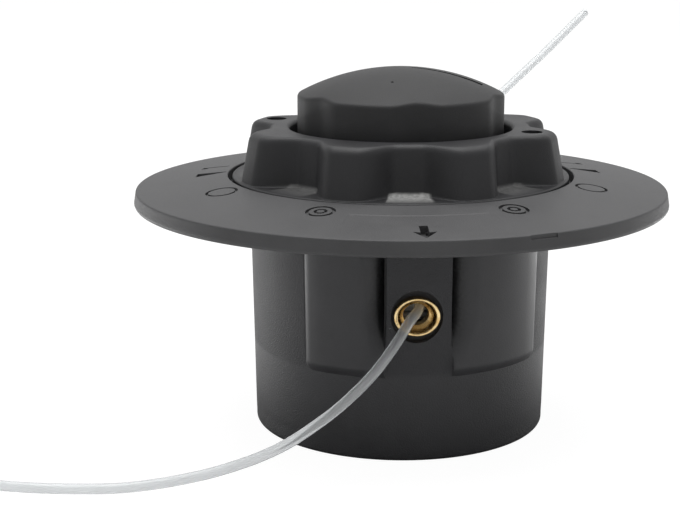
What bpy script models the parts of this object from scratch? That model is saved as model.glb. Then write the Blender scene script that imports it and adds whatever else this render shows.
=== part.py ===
"""Tap-feed line head for a grass trimmer, standing on its drive end.

A cup housing holds a sprung spool of nylon line. A lobed collar locks into the cup with
two bayonet lugs and clamps a wide skid disc. A round tap knob stands out through the
collar: pressing it drops the spool from the collar's ratchet teeth to the cup's, which
pays out line through two brass eyelets. Lengths are metres, +Z runs from the drive end
to the knob, and azimuth 0 is the front eyelet at -Y, growing towards +X.
"""
import math

import bmesh
import bpy
from mathutils import Matrix, Vector

# Driving sizes of the whole head
HOUSING_HEIGHT = 0.0463
HOUSING_RADIUS = 0.0300
HOUSING_DRAFT = 0.0008
DISC_RADIUS = 0.0540
COLLAR_RISE = 0.0097
KNOB_RISE = 0.0118
TAP_TRAVEL = 0.0060
LINE_DIAMETER = 0.0020

# Clearances: a seated fit, and how far a cutter runs past the face that it opens
GAP = 0.0003
OVERRUN = 0.0006
FULL_TURN = 360.0

# What keeps its proportion to the housing's radius
COLLAR_SHARE = 1.1467
SKIRT_SHARE = 0.86
KNOB_SHARE = 0.70
NUT_FLATS_SHARE = 0.5667
POST_SHARE = 0.3167
collar_radius = HOUSING_RADIUS * COLLAR_SHARE
skirt_radius = HOUSING_RADIUS * SKIRT_SHARE
knob_radius = HOUSING_RADIUS * KNOB_SHARE
nut_flats = HOUSING_RADIUS * NUT_FLATS_SHARE
post_radius = HOUSING_RADIUS * POST_SHARE

SIDES_WIDE = 60
SIDES_MID = 36
SIDES_SMALL = 20


def polar(radius, azimuth, z):
    """A point by its radius, its azimuth in degrees from -Y towards +X, and its height."""
    angle = math.radians(azimuth)
    return Vector((radius * math.sin(angle), -radius * math.cos(angle), z))


def arc(centre, radius, start, end, steps):
    """Points (r, z) on an arc in the turning plane, from one angle to another in degrees."""
    points = []
    for step in range(steps + 1):
        angle = math.radians(start + (end - start) * step / steps)
        points.append((centre[0] + radius * math.cos(angle), centre[1] + radius * math.sin(angle)))
    return points


def smooth_step(value):
    """0 below 0, 1 above 1, and an S-curve between them."""
    share = min(max(value, 0.0), 1.0)
    return share * share * (3.0 - 2.0 * share)


def finish(name, colour, roughness, metallic=0.0):
    """A Principled material with one colour, roughness and metallic value."""
    material = bpy.data.materials.new(name)
    material.use_nodes = True
    shader = material.node_tree.nodes["Principled BSDF"]
    shader.inputs["Base Color"].default_value = (*colour, 1.0)
    shader.inputs["Roughness"].default_value = roughness
    shader.inputs["Metallic"].default_value = metallic
    material.diffuse_color = (*colour, 1.0)
    return material


def link_mesh(name, bm, material=None, smooth_angle=35.0):
    """Turn a bmesh into a linked object with outward faces and smooth shading."""
    bmesh.ops.recalc_face_normals(bm, faces=bm.faces)
    mesh = bpy.data.meshes.new(name)
    bm.to_mesh(mesh)
    bm.free()
    mesh.shade_smooth()
    mesh.set_sharp_from_angle(angle=math.radians(smooth_angle))
    if material:
        mesh.materials.append(material)
    obj = bpy.data.objects.new(name, mesh)
    bpy.context.scene.collection.objects.link(obj)
    return obj


def turned(name, profile, sides, material=None):
    """Spin a closed profile of (r, z) points about Z, or one whose two ends lie on the axis."""
    bm = bmesh.new()
    verts = [bm.verts.new((radius, 0.0, z)) for radius, z in profile]
    edges = [bm.edges.new(pair) for pair in zip(verts, verts[1:])]
    if profile[0][0] > 0.0:
        edges.append(bm.edges.new((verts[-1], verts[0])))
    bmesh.ops.spin(bm, geom=verts + edges, cent=(0, 0, 0), axis=(0, 0, 1),
                   angle=math.tau, steps=sides, use_merge=True)
    bmesh.ops.remove_doubles(bm, verts=bm.verts, dist=GAP * 0.01)
    return link_mesh(name, bm, material)


def skin(bm, rings, closed_ring=True):
    """Add quads between each ring of vertices and the next."""
    for ring, following in zip(rings, rings[1:]):
        spans = len(ring) if closed_ring else len(ring) - 1
        for index in range(spans):
            after = (index + 1) % len(ring)
            bm.faces.new((ring[index], ring[after], following[after], following[index]))


def lofted(name, section_at, azimuths, material=None, closed_section=True):
    """Turn a profile that changes with the azimuth; open profiles start and end on the axis."""
    bm = bmesh.new()
    rings = [[bm.verts.new(polar(radius, azimuth, z)) for radius, z in section_at(azimuth)]
             for azimuth in azimuths]
    skin(bm, rings + rings[:1], closed_section)
    bmesh.ops.remove_doubles(bm, verts=bm.verts, dist=GAP * 0.01)
    return link_mesh(name, bm, material)


def add_sector(bm, azimuths, outlines):
    """Add a closed block that follows an arc, with one (r, z) outline at each azimuth."""
    rings = [[bm.verts.new(polar(radius, azimuth, z)) for radius, z in outline]
             for azimuth, outline in zip(azimuths, outlines)]
    skin(bm, rings)
    bm.faces.new(rings[0])
    bm.faces.new(rings[-1])


def plain_sectors(name, spans, inner, outer, low, high, step=8.0):
    """Blocks of rectangular section, one for each (start, end) span of azimuth."""
    bm = bmesh.new()
    outline = [(inner, low), (outer, low), (outer, high), (inner, high)]
    for start, end in spans:
        columns = max(round((end - start) / step), 1)
        azimuths = [start + (end - start) * column / columns for column in range(columns + 1)]
        add_sector(bm, azimuths, [outline] * len(azimuths))
    return link_mesh(name, bm)


def ratchet_teeth(name, root, tip, sink, phase_share):
    """Twelve tapered teeth round the axis, sunk into the face that carries them."""
    root_half = TOOTH_PITCH * TOOTH_ROOT_SHARE / 2
    tip_half = TOOTH_PITCH * TOOTH_TIP_SHARE / 2
    bm = bmesh.new()
    for index in range(TOOTH_COUNT):
        middle = TOOTH_PITCH * (index + phase_share)
        rings = []
        for level, half in ((sink, root_half), (root, root_half), (tip, tip_half)):
            rings.append([bm.verts.new(polar(radius, middle + side * half, level))
                          for radius, side in ((tooth_inner, -1), (tooth_outer, -1),
                                               (tooth_outer, 1), (tooth_inner, 1))])
        skin(bm, rings)
        bm.faces.new(rings[0])
        bm.faces.new(rings[-1])
    return link_mesh(name, bm)


def upright_cylinders(name, radius, places, low, high, sides=SIDES_SMALL):
    """Round cutters standing along Z, one for each (azimuth, distance from the axis)."""
    bm = bmesh.new()
    for azimuth, distance in places:
        made = bmesh.ops.create_cone(bm, cap_ends=True, segments=sides, radius1=radius,
                                     radius2=radius, depth=high - low)
        bmesh.ops.translate(bm, vec=polar(distance, azimuth, (low + high) / 2), verts=made["verts"])
    return link_mesh(name, bm)


def radial_bores(name, radius, azimuths, height, inner, outer):
    """Round cutters that lie along azimuths, for holes through a wall."""
    bm = bmesh.new()
    for azimuth in azimuths:
        made = bmesh.ops.create_cone(bm, cap_ends=True, segments=SIDES_SMALL, radius1=radius,
                                     radius2=radius, depth=outer - inner)
        turn = Matrix.Rotation(math.radians(azimuth), 4, "Z") @ Matrix.Rotation(math.pi / 2, 4, "X")
        place = Matrix.Translation(polar((inner + outer) / 2, azimuth, height)) @ turn
        bmesh.ops.transform(bm, matrix=place, verts=made["verts"])
    return link_mesh(name, bm)


def radial_plates(name, azimuths, outline, thickness):
    """Flat plates that stand in planes through the axis, with one (r, z) outline."""
    bm = bmesh.new()
    for azimuth in azimuths:
        across = polar(thickness / 2, azimuth + FULL_TURN / 4, 0.0)
        rings = [[bm.verts.new(polar(radius, azimuth, z) + across * side) for radius, z in outline]
                 for side in (-1, 1)]
        skin(bm, rings)
        bm.faces.new(rings[0])
        bm.faces.new(rings[1])
    return link_mesh(name, bm)


def combine(target, tool, operation):
    """Cut or join with a Boolean, and keep the tool as a hidden wire guide."""
    modifier = target.modifiers.new(f"{operation.lower()} {tool.name}", "BOOLEAN")
    modifier.operation = operation
    modifier.solver = "EXACT"
    modifier.object = tool
    tool.hide_render = True
    tool.display_type = "WIRE"


def smooth_route(points, spacing):
    """Read a Catmull-Rom curve through the points at an even spacing along it."""
    fine_steps = 16
    padded = [points[0] * 2 - points[1], *points, points[-1] * 2 - points[-2]]
    fine = []
    for before, start, end, after in zip(padded, padded[1:], padded[2:], padded[3:]):
        for step in range(fine_steps):
            t = step / fine_steps
            fine.append(((start * 2) + (end - before) * t
                         + (before * 2 - start * 5 + end * 4 - after) * t ** 2
                         + (start * 3 - before - end * 3 + after) * t ** 3) / 2)
    fine.append(points[-1])
    total = sum((b - a).length for a, b in zip(fine, fine[1:]))
    count = max(round(total / spacing), 1)
    route, walked, target = [fine[0]], 0.0, total / count
    for a, b in zip(fine, fine[1:]):
        walked += (b - a).length
        if walked >= target and len(route) < count:
            route.append(b)
            target += total / count
    route.append(fine[-1])
    return route


def tube(name, points, radius, resolution, material):
    """A round tube on a poly spline with filled caps."""
    curve = bpy.data.curves.new(name, "CURVE")
    curve.dimensions = "3D"
    curve.bevel_depth = radius
    curve.bevel_resolution = resolution
    curve.use_fill_caps = True
    spline = curve.splines.new("POLY")
    spline.points.add(len(points) - 1)
    for spot, point in zip(spline.points, points):
        spot.co = (*point, 1.0)
    curve.materials.append(material)
    obj = bpy.data.objects.new(name, curve)
    bpy.context.scene.collection.objects.link(obj)
    return obj


# Ratchet: twelve narrow teeth with wide gaps, above and below the spool. At rest each spool
# tooth bears on a collar tooth; pressed, it falls into the housing's gap and turns on.
TOOTH_COUNT = 12
TOOTH_PITCH = FULL_TURN / TOOTH_COUNT
TOOTH_ROOT_SHARE = 0.205
TOOTH_TIP_SHARE = 0.165
COLLAR_PHASE_SHARE = 0.24
HOUSING_PHASE_SHARE = 0.74
TOOTH_INNER_SHARE = 0.17
TOOTH_OUTER_SHARE = 0.70
TOOTH_HEIGHT = 0.0030
TOOTH_LAND = 0.0008

# Bayonet: two lugs on the collar's skirt pass under two lugs in the housing's neck
HOUSING_LUG_HEIGHT = 0.0034
COLLAR_LUG_HEIGHT = 0.0027
LUG_TURN = 34.0
UNLOCK_TURN = 30.0
LUG_SIDE_TURN = 2.0

# Housing wall: thick where the eyelets and the recesses beside them need it
HOUSING_WALL = 0.0022
BASE_THICKNESS = 0.0032
LOWER_RING_HEIGHT = 0.0018
POCKET_LEFT_AZIMUTH = -43.0
BOSS_LEFT_AZIMUTH = -11.2
BOSS_RIGHT_AZIMUTH = 12.8
POCKET_RIGHT_AZIMUTH = 55.0
THICK_WALL_TURN = 4.5
THICK_WALL_DROP = 0.0005
SIDES_OF_HOUSING = (0.0, FULL_TURN / 2)

housing_top_radius = HOUSING_RADIUS + HOUSING_DRAFT
neck_inner = housing_top_radius - HOUSING_WALL
thick_wall_inner = skirt_radius + GAP + OVERRUN / 4
thick_wall_start = POCKET_LEFT_AZIMUTH - THICK_WALL_TURN
thick_wall_end = POCKET_RIGHT_AZIMUTH + THICK_WALL_TURN
wall_middle = HOUSING_RADIUS - HOUSING_WALL / 2
lug_start = thick_wall_end + LUG_SIDE_TURN

lower_tooth_root = BASE_THICKNESS + LOWER_RING_HEIGHT
lower_tooth_tip = lower_tooth_root + TOOTH_HEIGHT
spool_bottom = lower_tooth_tip + GAP + TAP_TRAVEL
collar_underside = HOUSING_HEIGHT - HOUSING_LUG_HEIGHT - GAP - COLLAR_LUG_HEIGHT
spool_top = collar_underside - GAP - TOOTH_HEIGHT

# Hub, drive nut and post on the housing's axis
SHAFT_RADIUS = 0.0053
SHAFT_DEPTH = 0.0265
SHAFT_CHAMFER = 0.0010
NUT_HEIGHT = 0.0080
NUT_BORE_RADIUS = 0.0044
NUT_SEAT = 0.0040
NUT_WALL = 0.0024
POST_REACH = 0.0080
nut_corner = nut_flats / 2 / math.cos(math.pi / 6)
hub_radius = nut_corner + NUT_WALL
hub_height = NUT_SEAT + NUT_HEIGHT + GAP * 2 + OVERRUN

# Spool, its spring and the post that guides it
SPOOL_INSET = 0.0010
SPOOL_FLANGE = 0.0016
MIDDLE_FLANGE = 0.0014
SPRING_BORE_CLEARANCE = 0.0010
CORE_WALL = 0.0022
POST_CLEARANCE = 0.0003
SPRING_ROOM = 0.0157
TUBE_WALL = 0.0022
TUBE_CLEARANCE = 0.0009
spring_bore = hub_radius + SPRING_BORE_CLEARANCE
core_radius = spring_bore + CORE_WALL
spool_radius = skirt_radius - SPOOL_INSET
winding_room = spool_radius - core_radius
tooth_inner = core_radius + winding_room * TOOTH_INNER_SHARE
tooth_outer = core_radius + winding_room * TOOTH_OUTER_SHARE
guide_bore = post_radius + POST_CLEARANCE
spring_ledge = spool_bottom + SPRING_ROOM
post_top = spring_ledge + POST_REACH
chamber_height = (spool_top - spool_bottom - SPOOL_FLANGE * 2 - MIDDLE_FLANGE) / 2
tube_inner = post_radius + TUBE_CLEARANCE
tube_outer = tube_inner + TUBE_WALL

# Eyelets
EYELET_BELOW_RIM = 0.0172
EYELET_THROAT = 0.0025
EYELET_BARREL_WALL = 0.0006
EYELET_FLANGE_RADIUS = 0.00445
EYELET_FLANGE = 0.0017
EYELET_PROUD = 0.0002
eyelet_height = HOUSING_HEIGHT - EYELET_BELOW_RIM
eyelet_barrel = EYELET_THROAT + EYELET_BARREL_WALL
eyelet_face = housing_top_radius - HOUSING_DRAFT * EYELET_BELOW_RIM / HOUSING_HEIGHT + EYELET_PROUD
eyelet_seat = eyelet_face - EYELET_FLANGE

# Skid disc and the collar's flange that clamps it
DISC_WEB = 0.0027
FLANGE_THICKNESS = 0.0022
disc_web_bottom = HOUSING_HEIGHT + GAP
disc_web_top = disc_web_bottom + DISC_WEB
flange_bottom = disc_web_top + GAP
flange_top = flange_bottom + FLANGE_THICKNESS
collar_top = flange_top + COLLAR_RISE


def pocket_cutter():
    """The recesses beside each eyelet: deepest by the boss, with sloped ends and round corners."""
    low_end_share = 0.366
    high_end_share = 0.918
    depth_at_boss = 0.0026
    depth_at_edge = 0.0013
    lower_slope = 0.0024
    corner_radius = 0.0034
    column_shares = (0.0, 0.04, 0.2, 0.35, 0.5, 0.65, 0.8, 0.93, 1.0)
    bottom = HOUSING_HEIGHT * low_end_share
    top = HOUSING_HEIGHT * high_end_share
    outside = housing_top_radius + OVERRUN

    def wall_radius(z):
        return HOUSING_RADIUS + HOUSING_DRAFT * z / HOUSING_HEIGHT

    bm = bmesh.new()
    for turn in SIDES_OF_HOUSING:
        for boss_edge, outer_edge in ((BOSS_LEFT_AZIMUTH, POCKET_LEFT_AZIMUTH),
                                      (BOSS_RIGHT_AZIMUTH, POCKET_RIGHT_AZIMUTH)):
            width = math.radians(abs(outer_edge - boss_edge)) * housing_top_radius
            azimuths, outlines = [], []
            for share in column_shares:
                at_end = share in (0.0, 1.0)
                depth = -GAP if at_end else depth_at_boss + (depth_at_edge - depth_at_boss) * share
                from_side = min(share, 1.0 - share) * width
                inset = max(corner_radius - from_side, 0.0)
                rise = corner_radius - math.sqrt(corner_radius ** 2 - inset ** 2)
                low = bottom + rise
                azimuths.append(turn + boss_edge + (outer_edge - boss_edge) * share)
                outlines.append([(outside, low), (wall_radius(low) + GAP, low),
                                 (wall_radius(low + lower_slope) - depth, low + lower_slope),
                                 (wall_radius(top) - depth, top), (outside, top)])
            add_sector(bm, azimuths, outlines)
    return link_mesh("pocket_cutter", bm)


def make_housing(material):
    """The cup: wall, base, drive hub and post in one moulding, with teeth and bayonet lugs."""
    edge_radius = 0.0016
    key_height = 0.0030
    key_width = 0.0040
    key_reach = 0.0016
    cavity_foot = HOUSING_RADIUS - HOUSING_WALL
    profile = [(0.0, SHAFT_DEPTH), (SHAFT_RADIUS, SHAFT_DEPTH), (SHAFT_RADIUS, SHAFT_CHAMFER),
               (SHAFT_RADIUS + SHAFT_CHAMFER, 0.0)]
    profile += arc((HOUSING_RADIUS - edge_radius, edge_radius), edge_radius, -90.0, 0.0, 3)
    profile += [(housing_top_radius, HOUSING_HEIGHT), (neck_inner, HOUSING_HEIGHT),
                (cavity_foot, BASE_THICKNESS),
                (tooth_outer + TOOTH_LAND, BASE_THICKNESS), (tooth_outer + TOOTH_LAND, lower_tooth_root),
                (tooth_inner - TOOTH_LAND, lower_tooth_root), (tooth_inner - TOOTH_LAND, BASE_THICKNESS),
                (hub_radius, BASE_THICKNESS), (hub_radius, hub_height), (post_radius, hub_height),
                (post_radius, post_top - SHAFT_CHAMFER), (post_radius - SHAFT_CHAMFER, post_top),
                (0.0, post_top)]
    housing = turned("housing", profile, SIDES_WIDE, material)
    thick_walls = plain_sectors("thick_wall_guide",
                                [(thick_wall_start + turn, thick_wall_end + turn)
                                 for turn in SIDES_OF_HOUSING],
                                thick_wall_inner, wall_middle, BASE_THICKNESS - OVERRUN,
                                HOUSING_HEIGHT - THICK_WALL_DROP)
    combine(housing, thick_walls, "UNION")
    lug_end = lug_start + UNLOCK_TURN - LUG_SIDE_TURN / 2
    lugs = plain_sectors("housing_lug_guide",
                         [(thick_wall_end - LUG_SIDE_TURN + turn, lug_end + turn)
                          for turn in SIDES_OF_HOUSING],
                         thick_wall_inner, neck_inner + HOUSING_WALL / 4,
                         HOUSING_HEIGHT - HOUSING_LUG_HEIGHT, HOUSING_HEIGHT - THICK_WALL_DROP * 2)
    combine(housing, lugs, "UNION")
    keys = radial_plates("disc_key_guide", (FULL_TURN / 4, -FULL_TURN / 4),
                         [(neck_inner + HOUSING_WALL / 2, HOUSING_HEIGHT - OVERRUN - key_height),
                          (housing_top_radius + key_reach, HOUSING_HEIGHT - OVERRUN - key_height),
                          (housing_top_radius + key_reach, HOUSING_HEIGHT - OVERRUN),
                          (neck_inner + HOUSING_WALL / 2, HOUSING_HEIGHT - OVERRUN)], key_width)
    combine(housing, keys, "UNION")
    teeth = ratchet_teeth("housing_teeth_guide", lower_tooth_root, lower_tooth_tip,
                          lower_tooth_root - OVERRUN, HOUSING_PHASE_SHARE)
    combine(housing, teeth, "UNION")
    combine(housing, pocket_cutter(), "DIFFERENCE")
    seats = radial_bores("eyelet_seat_cutter", EYELET_FLANGE_RADIUS + GAP, SIDES_OF_HOUSING,
                         eyelet_height, eyelet_seat - GAP, eyelet_face + OVERRUN)
    combine(housing, seats, "DIFFERENCE")
    bores = radial_bores("eyelet_bore_cutter", eyelet_barrel + GAP, SIDES_OF_HOUSING,
                         eyelet_height, thick_wall_inner - OVERRUN, eyelet_face)
    combine(housing, bores, "DIFFERENCE")
    nut_room = nut_corner + GAP / math.cos(math.pi / 6)
    pocket = upright_cylinders("nut_pocket_cutter", nut_room, [(0.0, 0.0)],
                               NUT_SEAT, NUT_SEAT + NUT_HEIGHT + GAP * 2, sides=6)
    combine(housing, pocket, "DIFFERENCE")
    return housing


def make_drive_nut(material):
    """The steel hex nut moulded into the hub, which the gearbox shaft screws into."""
    low = NUT_SEAT + GAP
    high = low + NUT_HEIGHT
    nut = upright_cylinders("drive_nut", nut_corner, [(0.0, 0.0)], low, high, sides=6)
    nut.data.materials.append(material)
    bore = upright_cylinders("nut_bore_cutter", NUT_BORE_RADIUS, [(0.0, 0.0)],
                             low - OVERRUN, high + OVERRUN)
    combine(nut, bore, "DIFFERENCE")
    return nut


def make_eyelet(name, azimuth, material):
    """A turned brass eyelet: a barrel through the wall and a flared mouth in its seat."""
    lip_radius = EYELET_FLANGE * 0.55
    throat_lip_share = 0.42
    inner_end = thick_wall_inner - GAP
    throat_lip = EYELET_THROAT + (EYELET_FLANGE_RADIUS - lip_radius - EYELET_THROAT) * throat_lip_share
    profile = [(EYELET_THROAT, inner_end), (eyelet_barrel, inner_end), (eyelet_barrel, eyelet_seat),
               (EYELET_FLANGE_RADIUS, eyelet_seat)]
    profile += arc((EYELET_FLANGE_RADIUS - lip_radius, eyelet_face - lip_radius), lip_radius,
                   0.0, 135.0, 4)
    profile += [(throat_lip, eyelet_face - lip_radius),
                (EYELET_THROAT, eyelet_face - EYELET_FLANGE)]
    eyelet = turned(name, profile, SIDES_SMALL, material)
    eyelet.location = (0.0, 0.0, eyelet_height)
    eyelet.rotation_euler = (math.pi / 2, 0.0, math.radians(azimuth))
    return eyelet


def make_skid_disc(material):
    """The wide disc that rides on the ground: a shallow cone, a stepped seat and ribs below."""
    cone_rise = 0.0026
    step_clearance = 0.0009
    step_radius = collar_radius + step_clearance
    rim_height = 0.00225
    rim_flare = 0.0012
    disc_wall = 0.0022
    edge = 0.0004
    sleeve_wall = 0.0022
    sleeve_height = 0.0036
    lug_clearance = 0.0004
    key_slot_width = 0.0046
    key_slot_height = 0.0034
    rib_count = 12
    rib_thickness = 0.0014
    rib_reach_share = 0.87
    hole = neck_inner - lug_clearance / 2
    rim_top = flange_top - cone_rise
    sleeve_inner = housing_top_radius + GAP
    sleeve_outer = sleeve_inner + sleeve_wall
    rim_bottom = rim_top - rim_height
    slope = cone_rise / (DISC_RADIUS - step_radius)
    step_outer = step_radius + disc_wall

    def top_height(radius):
        return rim_top + slope * (DISC_RADIUS - radius)

    profile = [(hole, disc_web_bottom), (sleeve_inner, disc_web_bottom),
               (sleeve_inner, disc_web_bottom - sleeve_height),
               (sleeve_outer, disc_web_bottom - sleeve_height), (sleeve_outer, disc_web_bottom),
               (step_radius + edge, disc_web_bottom),
               (step_outer, top_height(step_outer) - disc_wall),
               (DISC_RADIUS - disc_wall, top_height(DISC_RADIUS - disc_wall) - disc_wall),
               (DISC_RADIUS, rim_bottom), (DISC_RADIUS + rim_flare - edge, rim_bottom),
               (DISC_RADIUS + rim_flare, rim_bottom + edge),
               (DISC_RADIUS + edge / 2, rim_top - edge), (DISC_RADIUS - edge / 2, top_height(DISC_RADIUS)),
               (step_radius + edge, top_height(step_radius + edge)), (step_radius, flange_top - edge),
               (step_radius, disc_web_top), (hole, disc_web_top)]
    disc = turned("skid_disc", profile, SIDES_WIDE, material)
    rib_end = DISC_RADIUS * rib_reach_share
    rib_sink = disc_wall / 2
    ribs = radial_plates("disc_rib_guide", [FULL_TURN * index / rib_count for index in range(rib_count)],
                         [(sleeve_outer - sleeve_wall / 4, disc_web_bottom - sleeve_height + rib_sink),
                          (rib_end, top_height(rib_end) - disc_wall),
                          (rib_end, top_height(rib_end) - rib_sink),
                          (step_outer, top_height(step_outer) - rib_sink),
                          (sleeve_outer - sleeve_wall / 4, disc_web_bottom + rib_sink)],
                         rib_thickness)
    combine(disc, ribs, "UNION")
    slots = radial_plates("disc_key_slot_cutter", (FULL_TURN / 4, -FULL_TURN / 4),
                          [(sleeve_inner - OVERRUN, disc_web_bottom - sleeve_height - OVERRUN),
                           (sleeve_outer - OVERRUN, disc_web_bottom - sleeve_height - OVERRUN),
                           (sleeve_outer - OVERRUN, disc_web_bottom - sleeve_height + key_slot_height),
                           (sleeve_inner - OVERRUN, disc_web_bottom - sleeve_height + key_slot_height)],
                          key_slot_width)
    combine(disc, slots, "DIFFERENCE")
    return disc


# Collar: eight gripping lobes
LOBE_COUNT = 8
LOBE_PITCH = FULL_TURN / LOBE_COUNT
LOBE_LEAN = 0.0012
KNOB_CLEARANCE = 0.0016
SCALLOP_SHARE = 0.387
COLLAR_TURN = -3.0
LEDGE_THICKNESS = 0.0023
collar_bore = knob_radius + KNOB_CLEARANCE
lobe_top_radius = collar_radius - LOBE_LEAN
scallop_radius = collar_bore + (lobe_top_radius - collar_bore) * SCALLOP_SHARE


def collar_section(azimuth):
    """The collar's outline in the turning plane, between a lobe and the scallop beside it."""
    flat_half_share = 0.155
    scallop_half_share = 0.365
    scallop_draft = 0.0006
    edge = 0.0003
    lobe_fillet = 0.0003
    floor_fillet = 0.0024
    top_round = 0.0014
    bore_round = 0.0010
    ledge_inner = tooth_inner - TOOTH_LAND
    from_scallop = abs((azimuth - COLLAR_TURN + LOBE_PITCH / 2) % LOBE_PITCH - LOBE_PITCH / 2)
    share = from_scallop / LOBE_PITCH
    lobe = smooth_step((share - flat_half_share) / (scallop_half_share - flat_half_share))
    fillet = floor_fillet + (lobe_fillet - floor_fillet) * lobe
    lobe_foot = collar_radius - edge - lobe_fillet
    scallop_foot = scallop_radius + scallop_draft
    foot = scallop_foot + (lobe_foot - scallop_foot) * lobe
    head = scallop_radius + (lobe_top_radius - scallop_radius) * lobe
    points = [(ledge_inner, collar_underside), (skirt_radius, collar_underside),
              (skirt_radius, flange_bottom), (collar_radius - edge, flange_bottom),
              (collar_radius, flange_bottom + edge), (collar_radius, flange_top - edge),
              (collar_radius - edge, flange_top)]
    points += arc((foot + fillet, flange_top + fillet), fillet, 270.0, 180.0, 2)
    points += arc((head - top_round, collar_top - top_round), top_round, 0.0, 90.0, 2)
    points += arc((collar_bore + bore_round, collar_top - bore_round), bore_round, 90.0, 180.0, 2)
    points += [(collar_bore, collar_underside + LEDGE_THICKNESS),
               (ledge_inner, collar_underside + LEDGE_THICKNESS)]
    return points


def make_collar(material):
    """The lobed collar: hollow lobes, a skirt with bayonet lugs, and teeth under its ledge."""
    spanner_radius = 0.0021
    spanner_share = 0.46
    spanner_depth = 0.0060
    core_inner_share = 0.32
    core_outer_share = 0.81
    core_half_turn = 6.5
    core_roof = 0.0024
    spanner_distance = collar_bore + (lobe_top_radius - collar_bore) * spanner_share
    core_inner = skirt_radius + (lobe_top_radius - skirt_radius) * core_inner_share
    core_outer = skirt_radius + (lobe_top_radius - skirt_radius) * core_outer_share
    spanner_lobes = (1, 5)
    shares = (-0.5, -0.365, -0.26, -0.155, 0.0, 0.155, 0.26, 0.365)
    azimuths = [COLLAR_TURN + LOBE_PITCH * (lobe + share) for lobe in range(LOBE_COUNT) for share in shares]
    collar = lofted("collar", collar_section, azimuths, material)
    lug_top = collar_underside + COLLAR_LUG_HEIGHT
    lugs = plain_sectors("collar_lug_guide",
                         [(lug_start + turn, lug_start + LUG_TURN + turn) for turn in SIDES_OF_HOUSING],
                         skirt_radius - OVERRUN, neck_inner - OVERRUN,
                         collar_underside + GAP, lug_top)
    combine(collar, lugs, "UNION")
    teeth = ratchet_teeth("collar_teeth_guide", collar_underside, collar_underside - TOOTH_HEIGHT,
                          collar_underside + OVERRUN, COLLAR_PHASE_SHARE)
    combine(collar, teeth, "UNION")
    middles = [COLLAR_TURN + LOBE_PITCH * (lobe + 0.5) for lobe in range(LOBE_COUNT)]
    cores = plain_sectors("lobe_core_cutter",
                          [(middle - core_half_turn, middle + core_half_turn) for middle in middles],
                          core_inner, core_outer, flange_bottom - OVERRUN, collar_top - core_roof)
    combine(collar, cores, "DIFFERENCE")
    holes = upright_cylinders("spanner_hole_cutter", spanner_radius,
                              [(middles[lobe], spanner_distance) for lobe in spanner_lobes],
                              collar_top - spanner_depth, collar_top + OVERRUN, sides=16)
    combine(collar, holes, "DIFFERENCE")
    return collar


# Tap knob: a domed cap with six shallow finger scallops, pushed onto the spool's tube
KNOB_WALL = 0.0020
DOME_CURVE = 0.0440
KNOB_SCALLOPS = 6
KNOB_PITCH = FULL_TURN / KNOB_SCALLOPS
KNOB_SCALLOP_DEPTH = 0.0010
KNOB_TURN = 2.5
KNOB_SHOULDER = 0.0009
KNOB_FLOOR_CLEARANCE = 0.0006
SOCKET_WALL = 0.0020
KEY_COUNT = 4
KEY_WIDTH = 0.0024
KEY_HEIGHT = 0.0110
KEY_DEPTH = 0.0016
knob_apex = collar_top + KNOB_RISE
knob_bottom = collar_underside + LEDGE_THICKNESS + TAP_TRAVEL + KNOB_FLOOR_CLEARANCE
socket_inner = tube_outer + GAP
socket_outer = socket_inner + SOCKET_WALL


def dome_height(radius):
    """Height of the knob's spherical dome at a distance from the axis."""
    return knob_apex - DOME_CURVE + math.sqrt(DOME_CURVE ** 2 - radius ** 2)


tube_top = dome_height(socket_inner) - KNOB_WALL - GAP


def knob_section(azimuth):
    """The knob's outline from its apex down the scalloped side and back up inside."""
    dome_shares = (0.0, 0.3, 0.55, 0.75, 0.9)
    scallop_half_share = 0.25
    from_scallop = abs((azimuth - KNOB_TURN + KNOB_PITCH / 2) % KNOB_PITCH - KNOB_PITCH / 2)
    bite = 1.0 - smooth_step(from_scallop / KNOB_PITCH / scallop_half_share)
    side = knob_radius - KNOB_SCALLOP_DEPTH * bite
    tilt = math.asin((side - KNOB_SHOULDER / 2) / DOME_CURVE)
    dome_end = side - KNOB_SHOULDER * (1.0 - math.sin(tilt))
    centre = (side - KNOB_SHOULDER, dome_height(dome_end) - KNOB_SHOULDER * math.cos(tilt))
    inside = knob_radius - KNOB_SCALLOP_DEPTH - KNOB_WALL
    points = [(dome_end * share, dome_height(dome_end * share)) for share in dome_shares]
    points += arc(centre, KNOB_SHOULDER, 90.0 - math.degrees(tilt), 0.0, 2)
    points += [(side, knob_bottom), (inside, knob_bottom),
               (inside, dome_height(inside) - KNOB_WALL),
               (socket_outer, dome_height(socket_outer) - KNOB_WALL),
               (socket_outer, knob_bottom), (socket_inner, knob_bottom),
               (socket_inner, dome_height(socket_inner) - KNOB_WALL),
               (0.0, dome_height(0.0) - KNOB_WALL)]
    return points


def make_tap_knob(material):
    """The knob, with four keys inside its socket that turn the spool."""
    shares = (-0.5, -0.375, -0.25, -0.125, 0.0, 0.125, 0.25, 0.375)
    azimuths = [KNOB_TURN + KNOB_PITCH * (scallop + share)
                for scallop in range(KNOB_SCALLOPS) for share in shares]
    knob = lofted("tap_knob", knob_section, azimuths, material, closed_section=False)
    key_inner = socket_inner - KEY_DEPTH
    key_outer = socket_inner + SOCKET_WALL / 2
    roof = dome_height(key_outer) - KNOB_WALL / 2
    keys = radial_plates("knob_key_guide", [FULL_TURN * index / KEY_COUNT for index in range(KEY_COUNT)],
                         [(key_inner, tube_top - KEY_HEIGHT), (key_outer, tube_top - KEY_HEIGHT),
                          (key_outer, roof), (key_inner, roof)], KEY_WIDTH)
    combine(knob, keys, "UNION")
    return knob


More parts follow.
